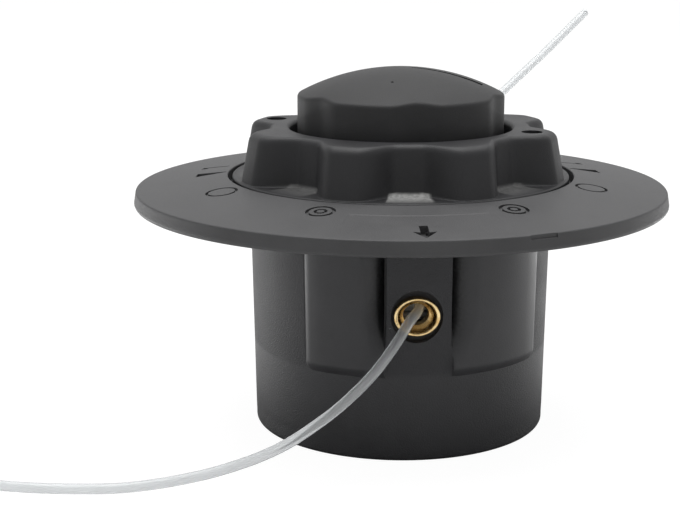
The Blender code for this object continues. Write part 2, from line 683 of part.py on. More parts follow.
def make_spool(material):
    """The spool: three flanges on a core, ratchet teeth on both faces, and the knob's tube."""
    line_slot_width = LINE_DIAMETER + GAP * 2
    line_slot_share = 0.64
    line_slot_depth = winding_room * line_slot_share
    lower_chamber = spool_bottom + SPOOL_FLANGE
    middle_low = lower_chamber + chamber_height
    middle_high = middle_low + MIDDLE_FLANGE
    upper_flange = middle_high + chamber_height
    profile = [(spring_bore, spool_bottom), (spool_radius, spool_bottom),
               (spool_radius, lower_chamber), (core_radius, lower_chamber),
               (core_radius, middle_low), (spool_radius, middle_low),
               (spool_radius, middle_high), (core_radius, middle_high),
               (core_radius, upper_flange), (spool_radius, upper_flange),
               (spool_radius, spool_top), (tube_outer, spool_top), (tube_outer, tube_top),
               (tube_inner, tube_top), (tube_inner, post_top), (guide_bore, post_top - TUBE_CLEARANCE),
               (guide_bore, spring_ledge), (spring_bore, spring_ledge)]
    spool = turned("spool", profile, SIDES_MID, material)
    upper_teeth = ratchet_teeth("spool_upper_teeth_guide", spool_top, spool_top + TOOTH_HEIGHT,
                                spool_top - OVERRUN, 0.0)
    combine(spool, upper_teeth, "UNION")
    lower_teeth = ratchet_teeth("spool_lower_teeth_guide", spool_bottom, spool_bottom - TOOTH_HEIGHT,
                                spool_bottom + OVERRUN, 0.0)
    combine(spool, lower_teeth, "UNION")
    slots = radial_plates("key_slot_cutter", [FULL_TURN * index / KEY_COUNT for index in range(KEY_COUNT)],
                          [(tube_inner - OVERRUN, tube_top - KEY_HEIGHT - GAP),
                           (tube_outer + OVERRUN, tube_top - KEY_HEIGHT - GAP),
                           (tube_outer + OVERRUN, tube_top + OVERRUN),
                           (tube_inner - OVERRUN, tube_top + OVERRUN)], KEY_WIDTH + GAP * 2)
    combine(spool, slots, "DIFFERENCE")
    anchors = radial_plates("line_anchor_cutter", SIDES_OF_HOUSING,
                            [(spool_radius - line_slot_depth, middle_low - OVERRUN),
                             (spool_radius + OVERRUN, middle_low - OVERRUN),
                             (spool_radius + OVERRUN, middle_high + OVERRUN),
                             (spool_radius - line_slot_depth, middle_high + OVERRUN)],
                            line_slot_width)
    combine(spool, anchors, "DIFFERENCE")
    return spool


def make_winding(name, low, material):
    """One chamber's wound line: a ring whose outside shows the turns that lie side by side."""
    turns = 4
    depth_share = 0.73
    turn_dip = LINE_DIAMETER / 6
    inner = core_radius + GAP
    outer = inner + (spool_radius - inner) * depth_share
    height = chamber_height - GAP * 2
    pitch = height / turns
    profile = [(inner, low + height), (inner, low)]
    for turn in range(turns):
        start = low + pitch * turn
        profile += [(outer - turn_dip, start), (outer, start + pitch / 3), (outer, start + pitch * 2 / 3)]
    profile.append((outer - turn_dip, low + height))
    return turned(name, profile, SIDES_SMALL, material)


def make_spring(material):
    """The compression spring under the spool, with closed end coils."""
    wire_radius = 0.0007
    turns = 5
    points_per_turn = 12
    end_turn_share = 0.2
    low = hub_height + GAP + wire_radius
    high = washer_bottom - GAP - wire_radius
    end_rise = wire_radius * 2 + GAP
    middle_radius = (post_radius + spring_bore) / 2
    count = turns * points_per_turn
    points = []
    for index in range(count + 1):
        share = index / count
        if share < end_turn_share:
            z = low + end_rise * share / end_turn_share
        elif share > 1.0 - end_turn_share:
            z = high - end_rise * (1.0 - share) / end_turn_share
        else:
            run = (share - end_turn_share) / (1.0 - 2 * end_turn_share)
            z = low + end_rise + (high - low - end_rise * 2) * run
        points.append(polar(middle_radius, FULL_TURN * turns * share, z))
    return tube("spring", points, wire_radius, 1, material)


# Thrust washer between the turning spool and the spring
WASHER_THICKNESS = 0.0007
washer_top = spring_ledge - GAP
washer_bottom = washer_top - WASHER_THICKNESS


def make_thrust_washer(material):
    """A flat steel ring that lets the spool turn on the spring."""
    inner = guide_bore + GAP
    outer = spring_bore - GAP * 2
    return turned("thrust_washer", [(inner, washer_bottom), (outer, washer_bottom),
                                    (outer, washer_top), (inner, washer_top)], SIDES_SMALL, material)


# The free ends of the line, as chosen points in millimetres from the axis and the base. They
# start in an eyelet whose face is this far out and this high, and follow it when it moves.
MM = 0.001
ROUTE_EYELET_FACE = 0.0307
ROUTE_EYELET_HEIGHT = 0.0291
FRONT_LINE_ROUTE = (
    (0.95, -25.6, 30.2), (0.7, -27.6, 30.2), (0.1, -29.6, 29.9), (-0.9, -31.6, 29.5),
    (-2.0, -33.4, 28.8), (-4.1, -36.1, 26.5), (-6.3, -38.1, 24.1), (-8.9, -39.9, 21.4),
    (-12.2, -41.5, 18.5), (-16.2, -42.7, 15.3), (-20.1, -43.6, 12.7), (-25.0, -44.3, 9.7),
    (-30.4, -44.5, 7.2), (-35.9, -44.5, 5.3), (-41.4, -44.3, 3.8), (-48.7, -43.7, 2.3),
    (-56.1, -42.9, 1.3), (-63.5, -42.1, 1.05), (-70.8, -41.1, 1.05), (-76.8, -39.7, 1.05),
    (-80.7, -38.3, 1.05))
REAR_LINE_ROUTE = (
    (0.3, 25.6, 29.8), (0.4, 28.2, 30.15), (0.5, 31.2, 30.3), (0.8, 34.8, 30.5),
    (1.7, 39.4, 31.4), (3.8, 44.6, 33.5), (7.6, 50.3, 37.0), (13.3, 55.6, 42.0), (19.6, 60.5, 47.6),
    (26.3, 65.5, 53.4), (32.9, 70.6, 58.6), (38.9, 75.5, 62.9), (44.9, 80.3, 67.1),
    (51.0, 85.2, 71.6), (55.6, 88.9, 75.1), (58.7, 91.1, 77.5))


def make_line(name, route, azimuth, material):
    """One free end of the nylon line, from inside its eyelet to its cut end."""
    outward = polar(eyelet_face - ROUTE_EYELET_FACE, azimuth, 0.0)
    lift = eyelet_height / ROUTE_EYELET_HEIGHT
    points = []
    for x, y, z in route:
        points.append(Vector((x, y, z * lift)) * MM + outward)
    return tube(name, smooth_route(points, LINE_DIAMETER * 2), LINE_DIAMETER / 2, 2, material)


def build_head():
    """Clear the scene and make every piece of the head."""
    for obj in list(bpy.data.objects):
        bpy.data.objects.remove(obj, do_unlink=True)
    nylon = finish("black_nylon", (0.032, 0.032, 0.034), 0.55)
    spool_nylon = finish("spool_nylon", (0.06, 0.06, 0.065), 0.5)
    brass = finish("brass", (0.78, 0.56, 0.25), 0.28, 1.0)
    steel = finish("zinc_steel", (0.56, 0.57, 0.58), 0.35, 1.0)
    clear_line = finish("clear_line", (0.82, 0.84, 0.80), 0.25)
    make_housing(nylon)
    make_drive_nut(steel)
    make_eyelet("front_eyelet", SIDES_OF_HOUSING[0], brass)
    make_eyelet("rear_eyelet", SIDES_OF_HOUSING[1], brass)
    make_skid_disc(nylon)
    make_collar(nylon)
    make_tap_knob(nylon)
    make_spool(spool_nylon)
    lower_winding_low = spool_bottom + SPOOL_FLANGE + GAP
    upper_winding_low = lower_winding_low + chamber_height + MIDDLE_FLANGE
    make_winding("lower_winding", lower_winding_low, clear_line)
    make_winding("upper_winding", upper_winding_low, clear_line)
    make_spring(steel)
    make_thrust_washer(steel)
    make_line("front_line", FRONT_LINE_ROUTE, SIDES_OF_HOUSING[0], clear_line)
    make_line("rear_line", REAR_LINE_ROUTE, SIDES_OF_HOUSING[1], clear_line)


build_head()
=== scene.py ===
"""The looks of a grass trimmer's tap-feed line head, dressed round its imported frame.

The sections follow the head as it is put together: the free ends of its line, the cup
housing and its eyelets, the steel parts and the wound spool inside, the skid disc, the
collar that locks them in, and the knob. Lengths are metres; +Z runs from drive end to knob.
"""
import math

import bmesh
import bpy
import numpy as np
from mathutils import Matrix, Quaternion, Vector


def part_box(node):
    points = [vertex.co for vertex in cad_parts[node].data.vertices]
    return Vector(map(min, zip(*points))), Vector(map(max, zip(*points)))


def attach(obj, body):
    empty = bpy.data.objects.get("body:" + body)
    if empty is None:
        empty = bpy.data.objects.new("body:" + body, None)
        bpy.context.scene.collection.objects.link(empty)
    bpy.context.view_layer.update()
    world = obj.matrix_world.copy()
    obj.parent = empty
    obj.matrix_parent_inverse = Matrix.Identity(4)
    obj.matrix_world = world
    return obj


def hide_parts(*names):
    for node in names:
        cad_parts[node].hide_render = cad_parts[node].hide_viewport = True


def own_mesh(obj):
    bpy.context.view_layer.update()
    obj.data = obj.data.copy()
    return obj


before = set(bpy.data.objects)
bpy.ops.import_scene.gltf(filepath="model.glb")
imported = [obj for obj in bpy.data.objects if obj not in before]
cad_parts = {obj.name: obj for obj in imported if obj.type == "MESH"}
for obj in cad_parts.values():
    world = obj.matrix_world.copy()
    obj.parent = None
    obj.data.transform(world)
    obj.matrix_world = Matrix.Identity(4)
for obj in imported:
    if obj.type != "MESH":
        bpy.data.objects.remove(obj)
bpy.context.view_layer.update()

# Camera
# A long lens a little above the disc, turned slightly off the front eyelet, as the head
# would be shot for a shop's catalogue.
CAMERA_PLACE = Vector((-0.03571, -0.31339, 0.10652))
CAMERA_AIM = Vector((-0.01232, 0.00140, 0.03366))
CAMERA_LENS = 82.31
CAMERA_ROLL = -0.1


def new_object(name, data):
    """An object that holds this data, in the scene."""
    thing = bpy.data.objects.new(name, data)
    bpy.context.scene.collection.objects.link(thing)
    return thing


camera = new_object("camera", bpy.data.cameras.new("camera"))
camera.data.lens = CAMERA_LENS
camera.location = CAMERA_PLACE
camera.rotation_mode = "QUATERNION"
level_view = (CAMERA_AIM - CAMERA_PLACE).to_track_quat("-Z", "Y")
camera.rotation_quaternion = level_view @ Quaternion((0, 0, 1), math.radians(CAMERA_ROLL))
bpy.context.scene.camera = camera
bpy.context.scene.view_settings.view_transform = "Standard"

# Free ends of the line
# Two lengths of 2 mm round nylon line, milky and springy, each pulled out of its eyelet and
# cut off square. The front one bows down to the table, the rear one stands up behind.
MM = 0.001
LINE_DIAMETER = 0.0020
LINE_SPACING = LINE_DIAMETER * 0.75
FRONT_LINE_ROUTE = (
    (0.95, -25.6, 30.2), (0.7, -27.6, 30.2), (0.1, -29.6, 29.9), (-0.9, -31.6, 29.5),
    (-2.0, -33.4, 28.8), (-4.1, -36.1, 26.5), (-6.3, -38.1, 24.1), (-8.9, -39.9, 21.4),
    (-12.2, -41.5, 18.5), (-16.2, -42.7, 15.3), (-20.1, -43.6, 12.7), (-25.0, -44.3, 9.7),
    (-30.4, -44.5, 7.2), (-35.9, -44.5, 5.3), (-41.4, -44.3, 3.8), (-48.7, -43.7, 2.3),
    (-56.1, -42.9, 1.3), (-63.5, -42.1, 1.05), (-70.8, -41.1, 1.05), (-76.8, -39.7, 1.05),
    (-80.7, -38.3, 1.05))
REAR_LINE_ROUTE = (
    (0.3, 25.6, 29.8), (0.4, 28.2, 30.15), (0.5, 31.2, 30.3), (0.8, 34.8, 30.5),
    (1.7, 39.4, 31.4), (3.8, 44.6, 33.5), (7.6, 50.3, 37.0), (13.3, 55.6, 42.0),
    (19.6, 60.5, 47.6), (26.3, 65.5, 53.4), (32.9, 70.6, 58.6), (38.9, 75.5, 62.9),
    (44.9, 80.3, 67.1), (51.0, 85.2, 71.6), (55.6, 88.9, 75.1), (58.7, 91.1, 77.5))


def smooth_route(chosen, spacing):
    """A Catmull-Rom curve through the chosen points, read at an even spacing along it."""
    padded = np.vstack([2 * chosen[0] - chosen[1], chosen, 2 * chosen[-1] - chosen[-2]])
    before, start, end, after = (padded[k:len(padded) - 3 + k, None] for k in range(4))
    t = np.linspace(0, 1, 24, endpoint=False)[None, :, None]
    fine = (2 * start + (end - before) * t + (2 * before - 5 * start + 4 * end - after) * t ** 2
            + (3 * start - before - 3 * end + after) * t ** 3) / 2
    fine = np.vstack([fine.reshape(-1, 3), chosen[-1]])
    walked = np.concatenate([[0], np.cumsum(np.linalg.norm(np.diff(fine, axis=0), axis=1))])
    marks = np.linspace(0, walked[-1], round(walked[-1] / spacing) + 1)
    return np.stack([np.interp(marks, walked, fine[:, axis]) for axis in range(3)], axis=-1)


def feed(tree, node, inputs):
    """Give each socket a fixed value, a node's first output, or a pair of node and output."""
    for socket, given in inputs.items():
        if isinstance(given, bpy.types.Node):
            given = (given, 0)
        if isinstance(given, tuple) and isinstance(given[0], bpy.types.Node):
            tree.links.new(given[0].outputs[given[1]], node.inputs[socket])
        else:
            node.inputs[socket].default_value = given


def new_material(name, colour, roughness, metallic=0.0, specular=0.5):
    """A Principled material without a pattern yet, with its node tree and its shader."""
    material = bpy.data.materials.new(name)
    material.use_nodes = True
    tree = material.node_tree
    shader = tree.nodes["Principled BSDF"]
    feed(tree, shader, {"Base Color": (*colour, 1.0), "Roughness": roughness, "Metallic": metallic,
                        "Specular IOR Level": specular})
    return material, tree, shader


def add_node(tree, kind, inputs=None, **settings):
    """A shader node with its settings, and what feeds its sockets."""
    node = tree.nodes.new("ShaderNode" + kind)
    for setting, value in settings.items():
        setattr(node, setting, value)
    feed(tree, node, inputs or {})
    return node


def noise(tree, scale, detail):
    """A noise in the object's own coordinates, its scale a value or a node's output."""
    place = add_node(tree, "TexCoord")
    return add_node(tree, "TexNoise", {"Vector": (place, "Object"), "Scale": scale, "Detail": detail})


def add_ramp(tree, factor, first, last, start=0.0, end=1.0):
    """A colour ramp between two tones, each at its own place, read at this factor."""
    ramp = add_node(tree, "ValToRGB", {"Fac": factor})
    for element, tone, place in zip(ramp.color_ramp.elements, (first, last), (start, end)):
        element.position = place
        element.color = (*tone, 1.0)
    return ramp


def drawn_nylon_line():
    """Milky nylon: light partly passes through it, and a painted highlight pales its colour where it is seen
    edge-on.
    """
    material, tree, shader = new_material("milky_nylon_line", (0.92, 0.94, 0.95), 0.16)
    haze = noise(tree, 260.0, 3.0)
    tint = add_ramp(tree, haze, (0.84, 0.86, 0.87), (0.90, 0.92, 0.93))
    side = add_node(tree, "LayerWeight", {"Blend": 0.42})
    # Painted highlight: the colour lifts to a paler tone where the surface turns away from view.
    lift = add_node(tree, "Mix", {"Factor": (side, "Facing"), "A": tint,
                                  "B": (0.92, 0.94, 0.95, 1.0)}, data_type="RGBA")
    rub = add_node(tree, "MapRange", {"Value": haze, "To Min": 0.16, "To Max": 0.24})
    skin = add_node(tree, "Bump", {"Height": haze, "Strength": 0.02, "Distance": 0.00005})
    feed(tree, shader, {"Base Color": (lift, "Result"), "Roughness": rub, "Normal": skin,
                        "Transmission Weight": 0.62, "IOR": 1.53})
    return material


line_nylon = drawn_nylon_line()


def free_end(name, node, chosen):
    """One free end of line: a round curve along its route."""
    route = smooth_route(np.array(chosen) * MM, LINE_SPACING)
    curve = bpy.data.curves.new(name, "CURVE")
    curve.dimensions = "3D"
    curve.bevel_depth = LINE_DIAMETER / 2
    curve.bevel_resolution = 7
    curve.use_fill_caps = True
    spline = curve.splines.new("POLY")
    spline.points.add(len(route) - 1)
    spline.points.foreach_set("co", np.column_stack([route, np.ones(len(route))]).ravel())
    spline.use_smooth = True
    curve.materials.append(line_nylon)
    line = new_object(name, curve)
    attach(line, "housing")
    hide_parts(node)


free_end("front_line_end", "front_line", FRONT_LINE_ROUTE)
free_end("rear_line_end", "rear_line", REAR_LINE_ROUTE)

# Table and light tent
# A pale table that reads as pure white to the camera but keeps the head's shadow, with one
# wide soft light overhead and a low soft strip on either side.
FLOOR_REACH = 2.0
FLOOR_DROP = 0.0001
FLOOR_TONE = 0.80
WHITE_SHARE = 0.80
WHITE_LEVEL = 1.20
GLOSS_BEHIND = 1.0
GLOSS_IN_FRONT = 0.95
GLOSS_DEPTHS = (-0.13, 0.03)
GLOSS_RING = (0.037, 0.078)
TENT_TONE = 0.22
TENT_GLOSS = 0.74
OVERHEAD_SIZE = (0.70, 0.70)
STRIP_SIZE = (0.12, 0.014)
STRIP_AIM = (0.0, 0.0, 0.02)


def calc(tree, operation, *terms):
    """A maths node: the operation on its terms, each a number or a node's output."""
    return add_node(tree, "Math", dict(enumerate(terms)), operation=operation)


def spread_floor():
    """A flat square table top, a hair below the head's foot.

    It glows white to camera and transmission rays. Glossy rays see that glow fade out in a
    ring round the foot, and lose a little of it in front.
    """
    reach, low = FLOOR_REACH, -FLOOR_DROP
    mesh = bpy.data.meshes.new("table_top")
    mesh.from_pydata([(-reach, -reach, low), (reach, -reach, low), (reach, reach, low),
                      (-reach, reach, low)], [], [(0, 1, 2, 3)])
    floor = new_object("table_top", mesh)
    material, tree, shader = new_material("pale_table", (FLOOR_TONE,) * 3, 0.9, specular=0.1)
    ray = add_node(tree, "LightPath")
    place = add_node(tree, "TexCoord")
    split = add_node(tree, "SeparateXYZ", {0: (place, "Object")})
    depth = add_node(tree, "MapRange", {"Value": (split, "Y"), "From Min": GLOSS_DEPTHS[0],
                                        "From Max": GLOSS_DEPTHS[1], "To Min": GLOSS_IN_FRONT,
                                        "To Max": GLOSS_BEHIND}, interpolation_type="SMOOTHSTEP")
    distance = add_node(tree, "VectorMath", {0: (place, "Object")}, operation="LENGTH")
    ring = add_node(tree, "MapRange", {"Value": (distance, "Value"), "From Min": GLOSS_RING[0],
                                       "From Max": GLOSS_RING[1]}, interpolation_type="SMOOTHSTEP")
    ringed = calc(tree, "MULTIPLY", depth, ring)
    dulled = calc(tree, "MULTIPLY", (ray, "Is Glossy Ray"), ringed)
    seen = calc(tree, "MAXIMUM", (ray, "Is Camera Ray"), dulled)
    through = calc(tree, "MAXIMUM", seen, (ray, "Is Transmission Ray"))
    share = calc(tree, "MULTIPLY", through, WHITE_SHARE)
    white = add_node(tree, "Emission", {"Strength": WHITE_LEVEL})
    mix = add_node(tree, "MixShader", {"Fac": share, 1: shader, 2: white})
    feed(tree, tree.nodes["Material Output"], {"Surface": mix})
    mesh.materials.append(material)


def hang_tent():
    """The tent's cloth: plain white where it is seen, and a dim even light elsewhere."""
    world = bpy.data.worlds.new("light_tent")
    world.use_nodes = True
    bpy.context.scene.world = world
    tree = world.node_tree
    ray = add_node(tree, "LightPath")
    dulled = calc(tree, "MULTIPLY", (ray, "Is Glossy Ray"), TENT_GLOSS)
    seen = calc(tree, "MAXIMUM", (ray, "Is Camera Ray"), dulled)
    through = calc(tree, "MAXIMUM", seen, (ray, "Is Transmission Ray"))
    tone = add_node(tree, "MapRange", {"Value": through, "To Min": TENT_TONE, "To Max": 1.0})
    feed(tree, tree.nodes["Background"], {"Color": (1.0, 1.0, 1.0, 1.0), "Strength": tone})


def soft_light(name, place, aim, size, power, hidden=False):
    """A rectangular soft box that faces the head; a hidden one is out of the camera's sight."""
    lamp = bpy.data.lights.new(name, "AREA")
    lamp.shape = "RECTANGLE"
    lamp.size, lamp.size_y = size
    lamp.energy = power
    light = new_object(name, lamp)
    light.location = place
    light.rotation_mode = "QUATERNION"
    light.rotation_quaternion = (Vector(aim) - Vector(place)).to_track_quat("-Z", "Y")
    light.visible_camera = not hidden


spread_floor()
hang_tent()
soft_light("overhead_box", (0.0, 0.05, 0.70), (0.0, 0.0, 0.04), OVERHEAD_SIZE, 4.9)
soft_light("left_strip", (-0.14, 0.06, 0.008), STRIP_AIM, STRIP_SIZE, 0.050, hidden=True)
soft_light("right_strip", (0.14, 0.06, 0.008), STRIP_AIM, STRIP_SIZE, 0.030, hidden=True)

# Housing
# One moulding in black glass-filled nylon: a cup with a drive hub and a post inside. Its wall
# is spark-eroded, but the recesses beside the two eyelet bosses are left smooth. The recess
# holds a proud pad and, beside the boss, a valley that deepens upwards.
HOUSING_RADIUS = 0.0300
HOUSING_DRAFT = 0.0008
HOUSING_WALL = 0.0022
HOUSING_FLOOR = 0.0032
FOOT_ROUNDING = 0.0008
THICK_WALL_INNER = 0.02625
THICK_WALL_SPAN = (-47.5, 59.5)
SHAFT_RADIUS = 0.0053
SHAFT_CHAMFER = 0.0010
SHAFT_DEPTH = 0.0265
NUT_FLATS = 0.0170
NUT_POCKET = (0.0040, 0.0126)
HUB_RADIUS = 0.0122
HUB_TOP = 0.0132
POST_RADIUS = 0.0095
POST_TOP = 0.0380
DISC_KEY_AZIMUTHS = (90.0, -90.0)
DISC_KEY_HALF_TURN = 3.8
DISC_KEY_REACH = 0.0016
DISC_KEY_DEPTHS = (0.00055, 0.00365)
POCKETS = ((-11.2, -43.0), (12.8, 55.0))
POCKET_FOOT = 0.0170
POCKET_HEAD = 0.0425
POCKET_CORNER = 0.0018
VALLEY_DEPTH = 0.0028
VALLEY_WIDTH = 0.0042
VALLEY_FOOT = 0.0185
VALLEY_CLIMB = 2.2
PAD_CROWN = 0.0010
PAD_ROLL = 0.0044
PAD_NOSE = 0.0017
PAD_NOSE_SHARE = 0.65
PAD_FOOT_FALL = 0.75
PAD_FLUSH_HEIGHT = 0.0045
PAD_EDGE_DEPTH = 0.0001
PAD_GROOVE = 0.0002
EYELET_HEIGHT = 0.0291
EYELET_FACE = 0.0307
EYELET_SEAT = 0.0290
EYELET_BARREL = 0.0031
EYELET_CLEARANCE = 0.0003
EYELET_SEAT_RADIUS = 0.0050
SEAT_MOUTH = 0.0006
OVERSHOOT = 0.0010
SHARP_ANGLE = math.radians(32.0)
# Painted shade: the tone that the valley beside each boss is darkened towards.
PAINTED_SHADE_TONE = (0.003, 0.003, 0.003)
housing_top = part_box("housing")[1].z


def smooth_step(value):
    """0 below 0, 1 above 1, and an S-curve between them."""
    share = np.clip(value, 0.0, 1.0)
    return share * share * (3.0 - 2.0 * share)


def turn_from(azimuths, place, pitch=360.0):
    """The signed turn from a place that repeats at a pitch, within half the pitch each way."""
    return (azimuths - place + pitch / 2) % pitch - pitch / 2


def at_azimuth(azimuth, out, across=0.0):
    """x and y of a point a distance out along an azimuth and a distance across it."""
    turn = np.radians(azimuth)
    return out * np.sin(turn) + across * np.cos(turn), across * np.sin(turn) - out * np.cos(turn)


def rounded(corners, columns, closed, steps=5):
    """A profile r + iz from corners (r, z, rounding), each a number or one value per column.

    A corner becomes an arc tangent to both its sides: its centre lies on the bisector, at
    rounding / sin(half angle). A point just past each arc keeps the straight side flat.
    """
    spots = [np.broadcast_to(np.asarray(r) + 1j * np.asarray(z), columns) for r, z, _ in corners]
    rows = []
    for index, (_, _, rounding) in enumerate(corners):
        here = spots[index]
        if not closed and index in (0, len(corners) - 1):
            rows.append(here)
            continue
        back = spots[index - 1] - here
        ahead = spots[(index + 1) % len(corners)] - here
        back, ahead = back / np.abs(back), ahead / np.abs(ahead)
        half = np.abs(np.angle(ahead / back)) / 2
        size = np.broadcast_to(np.asarray(rounding, float), columns)
        centre = here + (back + ahead) / np.abs(back + ahead) * size / np.sin(half)
        start = here + back * size / np.tan(half)
        end = here + ahead * size / np.tan(half)
        sweep = np.angle((end - centre) / (start - centre))
        rows.append(start + back * size / 4)
        rows += [centre + (start - centre) * np.exp(1j * sweep * share)
                 for share in np.linspace(0, 1, steps + 1)]
        rows.append(end + ahead * size / 4)
    return np.stack(rows)


def grid_quads(rows, columns, closed):
    """Quads between neighbours in a grid whose columns close, and its rows where asked."""
    row = np.arange(rows if closed else rows - 1)[:, None] * columns
    next_row = np.roll(np.arange(rows), -1)[:len(row), None] * columns
    column = np.arange(columns)[None, :]
    next_column = np.roll(column, -1)
    quads = [row + column, row + next_column, next_row + next_column, next_row + column]
    return np.stack(quads, -1).reshape(-1, 4)


def new_piece(name, points, faces, masks=()):
    """A piece from points and faces: doubles merged, faces outwards, smooth but for edges.

    Each mask is a name and one value per point, for a material to read.
    """
    mesh = bpy.data.meshes.new(name)
    mesh.from_pydata(np.reshape(points, (-1, 3)), [], faces)
    for mask_name, values in masks:
        mask = mesh.attributes.new(mask_name, "FLOAT", "POINT")
        mask.data.foreach_set("value", np.ravel(values).astype(np.float32))
    bm = bmesh.new()
    bm.from_mesh(mesh)
    bmesh.ops.remove_doubles(bm, verts=bm.verts, dist=0.000002)
    bmesh.ops.dissolve_degenerate(bm, edges=bm.edges, dist=0.000001)
    bmesh.ops.recalc_face_normals(bm, faces=bm.faces)
    bm.to_mesh(mesh)
    bm.free()
    mesh.shade_smooth()
    mesh.set_sharp_from_angle(angle=SHARP_ANGLE)
    return new_object(name, mesh)


def turned_surface(name, profile, azimuths, closed, masks=()):
    """A surface turned round the axis from r + iz at each row and azimuth.

    A point is x = r sin a, y = -r cos a, z. Columns close on themselves, and so do the rows
    where the profile is closed.
    """
    x, y = at_azimuth(azimuths[None, :], profile.real)
    quads = grid_quads(*profile.shape, closed)
    return new_piece(name, np.stack([x, y, profile.imag], -1), quads, masks)


def turned_across(name, profile, sides, azimuth, oval=1.0):
    """A turned part that lies along an azimuth at the eyelets' height: profile is r + i(out)."""
    angle = np.linspace(0, 2 * np.pi, sides, endpoint=False)[None, :]
    radius, out = profile.real[:, None], profile.imag[:, None] + 0 * angle
    x, y = at_azimuth(azimuth, out, radius * np.cos(angle))
    up = radius * np.sin(angle) * oval + EYELET_HEIGHT
    return new_piece(name, np.stack([x, y, up], -1), grid_quads(len(profile), sides, closed=True))


def cut_away(piece, cutters):
    """Cut the cutters out of a piece for good, and throw them away."""
    for cutter in cutters:
        modifier = piece.modifiers.new("cut", "BOOLEAN")
        modifier.operation = "DIFFERENCE"
        modifier.solver = "EXACT"
        modifier.object = cutter
    depsgraph = bpy.context.evaluated_depsgraph_get()
    mesh = bpy.data.meshes.new_from_object(piece.evaluated_get(depsgraph),
                                           preserve_all_data_layers=True, depsgraph=depsgraph)
    piece.modifiers.clear()
    piece.data = mesh
    mesh.shade_smooth()
    mesh.set_sharp_from_angle(angle=SHARP_ANGLE)
    for cutter in cutters:
        bpy.data.objects.remove(cutter)


def coat(piece, material):
    """Give a piece this one material."""
    piece.data.materials.clear()
    piece.data.materials.append(material)


def azimuth_columns(step, fine_places, fine_reach, fine_step):
    """Azimuths all round at an even step, with closer ones near the places that need them."""
    even = np.arange(-180.0, 180.0, step)
    close = np.concatenate([place + np.arange(-fine_reach, fine_reach + fine_step / 2, fine_step)
                            for place in fine_places])
    near = np.zeros(len(even), bool)
    for place in fine_places:
        near |= np.abs(turn_from(even, place)) < fine_reach + step / 2
    return np.unique(np.round(np.concatenate([even[~near], turn_from(close, 0.0)]), 4))


def pocket_depth(azimuth, z):
    """How far the recesses sink into the wall, and where their smooth finish and painted shade lie.

    The valley falls away from the pad as a power of the distance to the boss. The pad's outer
    side rolls down as a quarter of an ellipse. The outline is a rectangle with a round corner.
    """
    depth = np.zeros(np.broadcast_shapes(azimuth.shape, z.shape))
    finish = np.zeros_like(depth)
    hollow = np.zeros_like(depth)
    climb = smooth_step((z - VALLEY_FOOT) / (POCKET_HEAD - VALLEY_FOOT) * VALLEY_CLIMB)
    flush = PAD_EDGE_DEPTH * smooth_step((z - POCKET_FOOT) / PAD_FLUSH_HEIGHT)
    low = np.maximum(POCKET_FOOT + POCKET_CORNER - z, 0) / POCKET_CORNER
    reach = VALLEY_WIDTH * (0.4 + 0.6 * climb)
    for turn in (0.0, 180.0):
        for boss, edge in POCKETS:
            away = turn_from(azimuth - turn, boss)
            along = away * np.sign(edge - boss) * math.pi / 180 * HOUSING_RADIUS
            width = abs(edge - boss) * math.pi / 180 * HOUSING_RADIUS
            from_edge = np.clip(width - along, 0, None)
            from_outline = POCKET_CORNER - np.hypot(np.maximum(POCKET_CORNER - from_edge, 0),
                                                    low * POCKET_CORNER)
            side = np.maximum(PAD_ROLL - from_edge, 0) / PAD_ROLL
            nose = np.clip((PAD_NOSE - from_outline) / PAD_NOSE, 0, 1)
            roll = (1 - PAD_NOSE_SHARE) * (1 - side ** 1.5) + PAD_NOSE_SHARE * np.sqrt(1 - nose ** 2)
            pad = flush - (PAD_CROWN + flush) * roll * (1 - PAD_FOOT_FALL * low ** 1.5)
            valley = (VALLEY_DEPTH + PAD_CROWN) * climb * np.clip(1 - along / (reach * 1.15), 0, 1) ** 1.5
            inside = (smooth_step(along / 0.0004) * np.clip(from_outline / PAD_GROOVE + 0.5, 0, 1)
                      * (width - along > -PAD_GROOVE) * (z > POCKET_FOOT) * (z < POCKET_HEAD))
            # Painted shade: the valley's colour darkens next to the boss and higher up, fading out across
            # it.
            shade_fade = 1 - smooth_step((along - 0.0010 * climb) / (reach * 0.75))
            depth += (pad + valley) * inside
            finish = np.maximum(finish, inside)
            hollow = np.maximum(hollow, inside * climb * shade_fade)
    return depth, finish, hollow


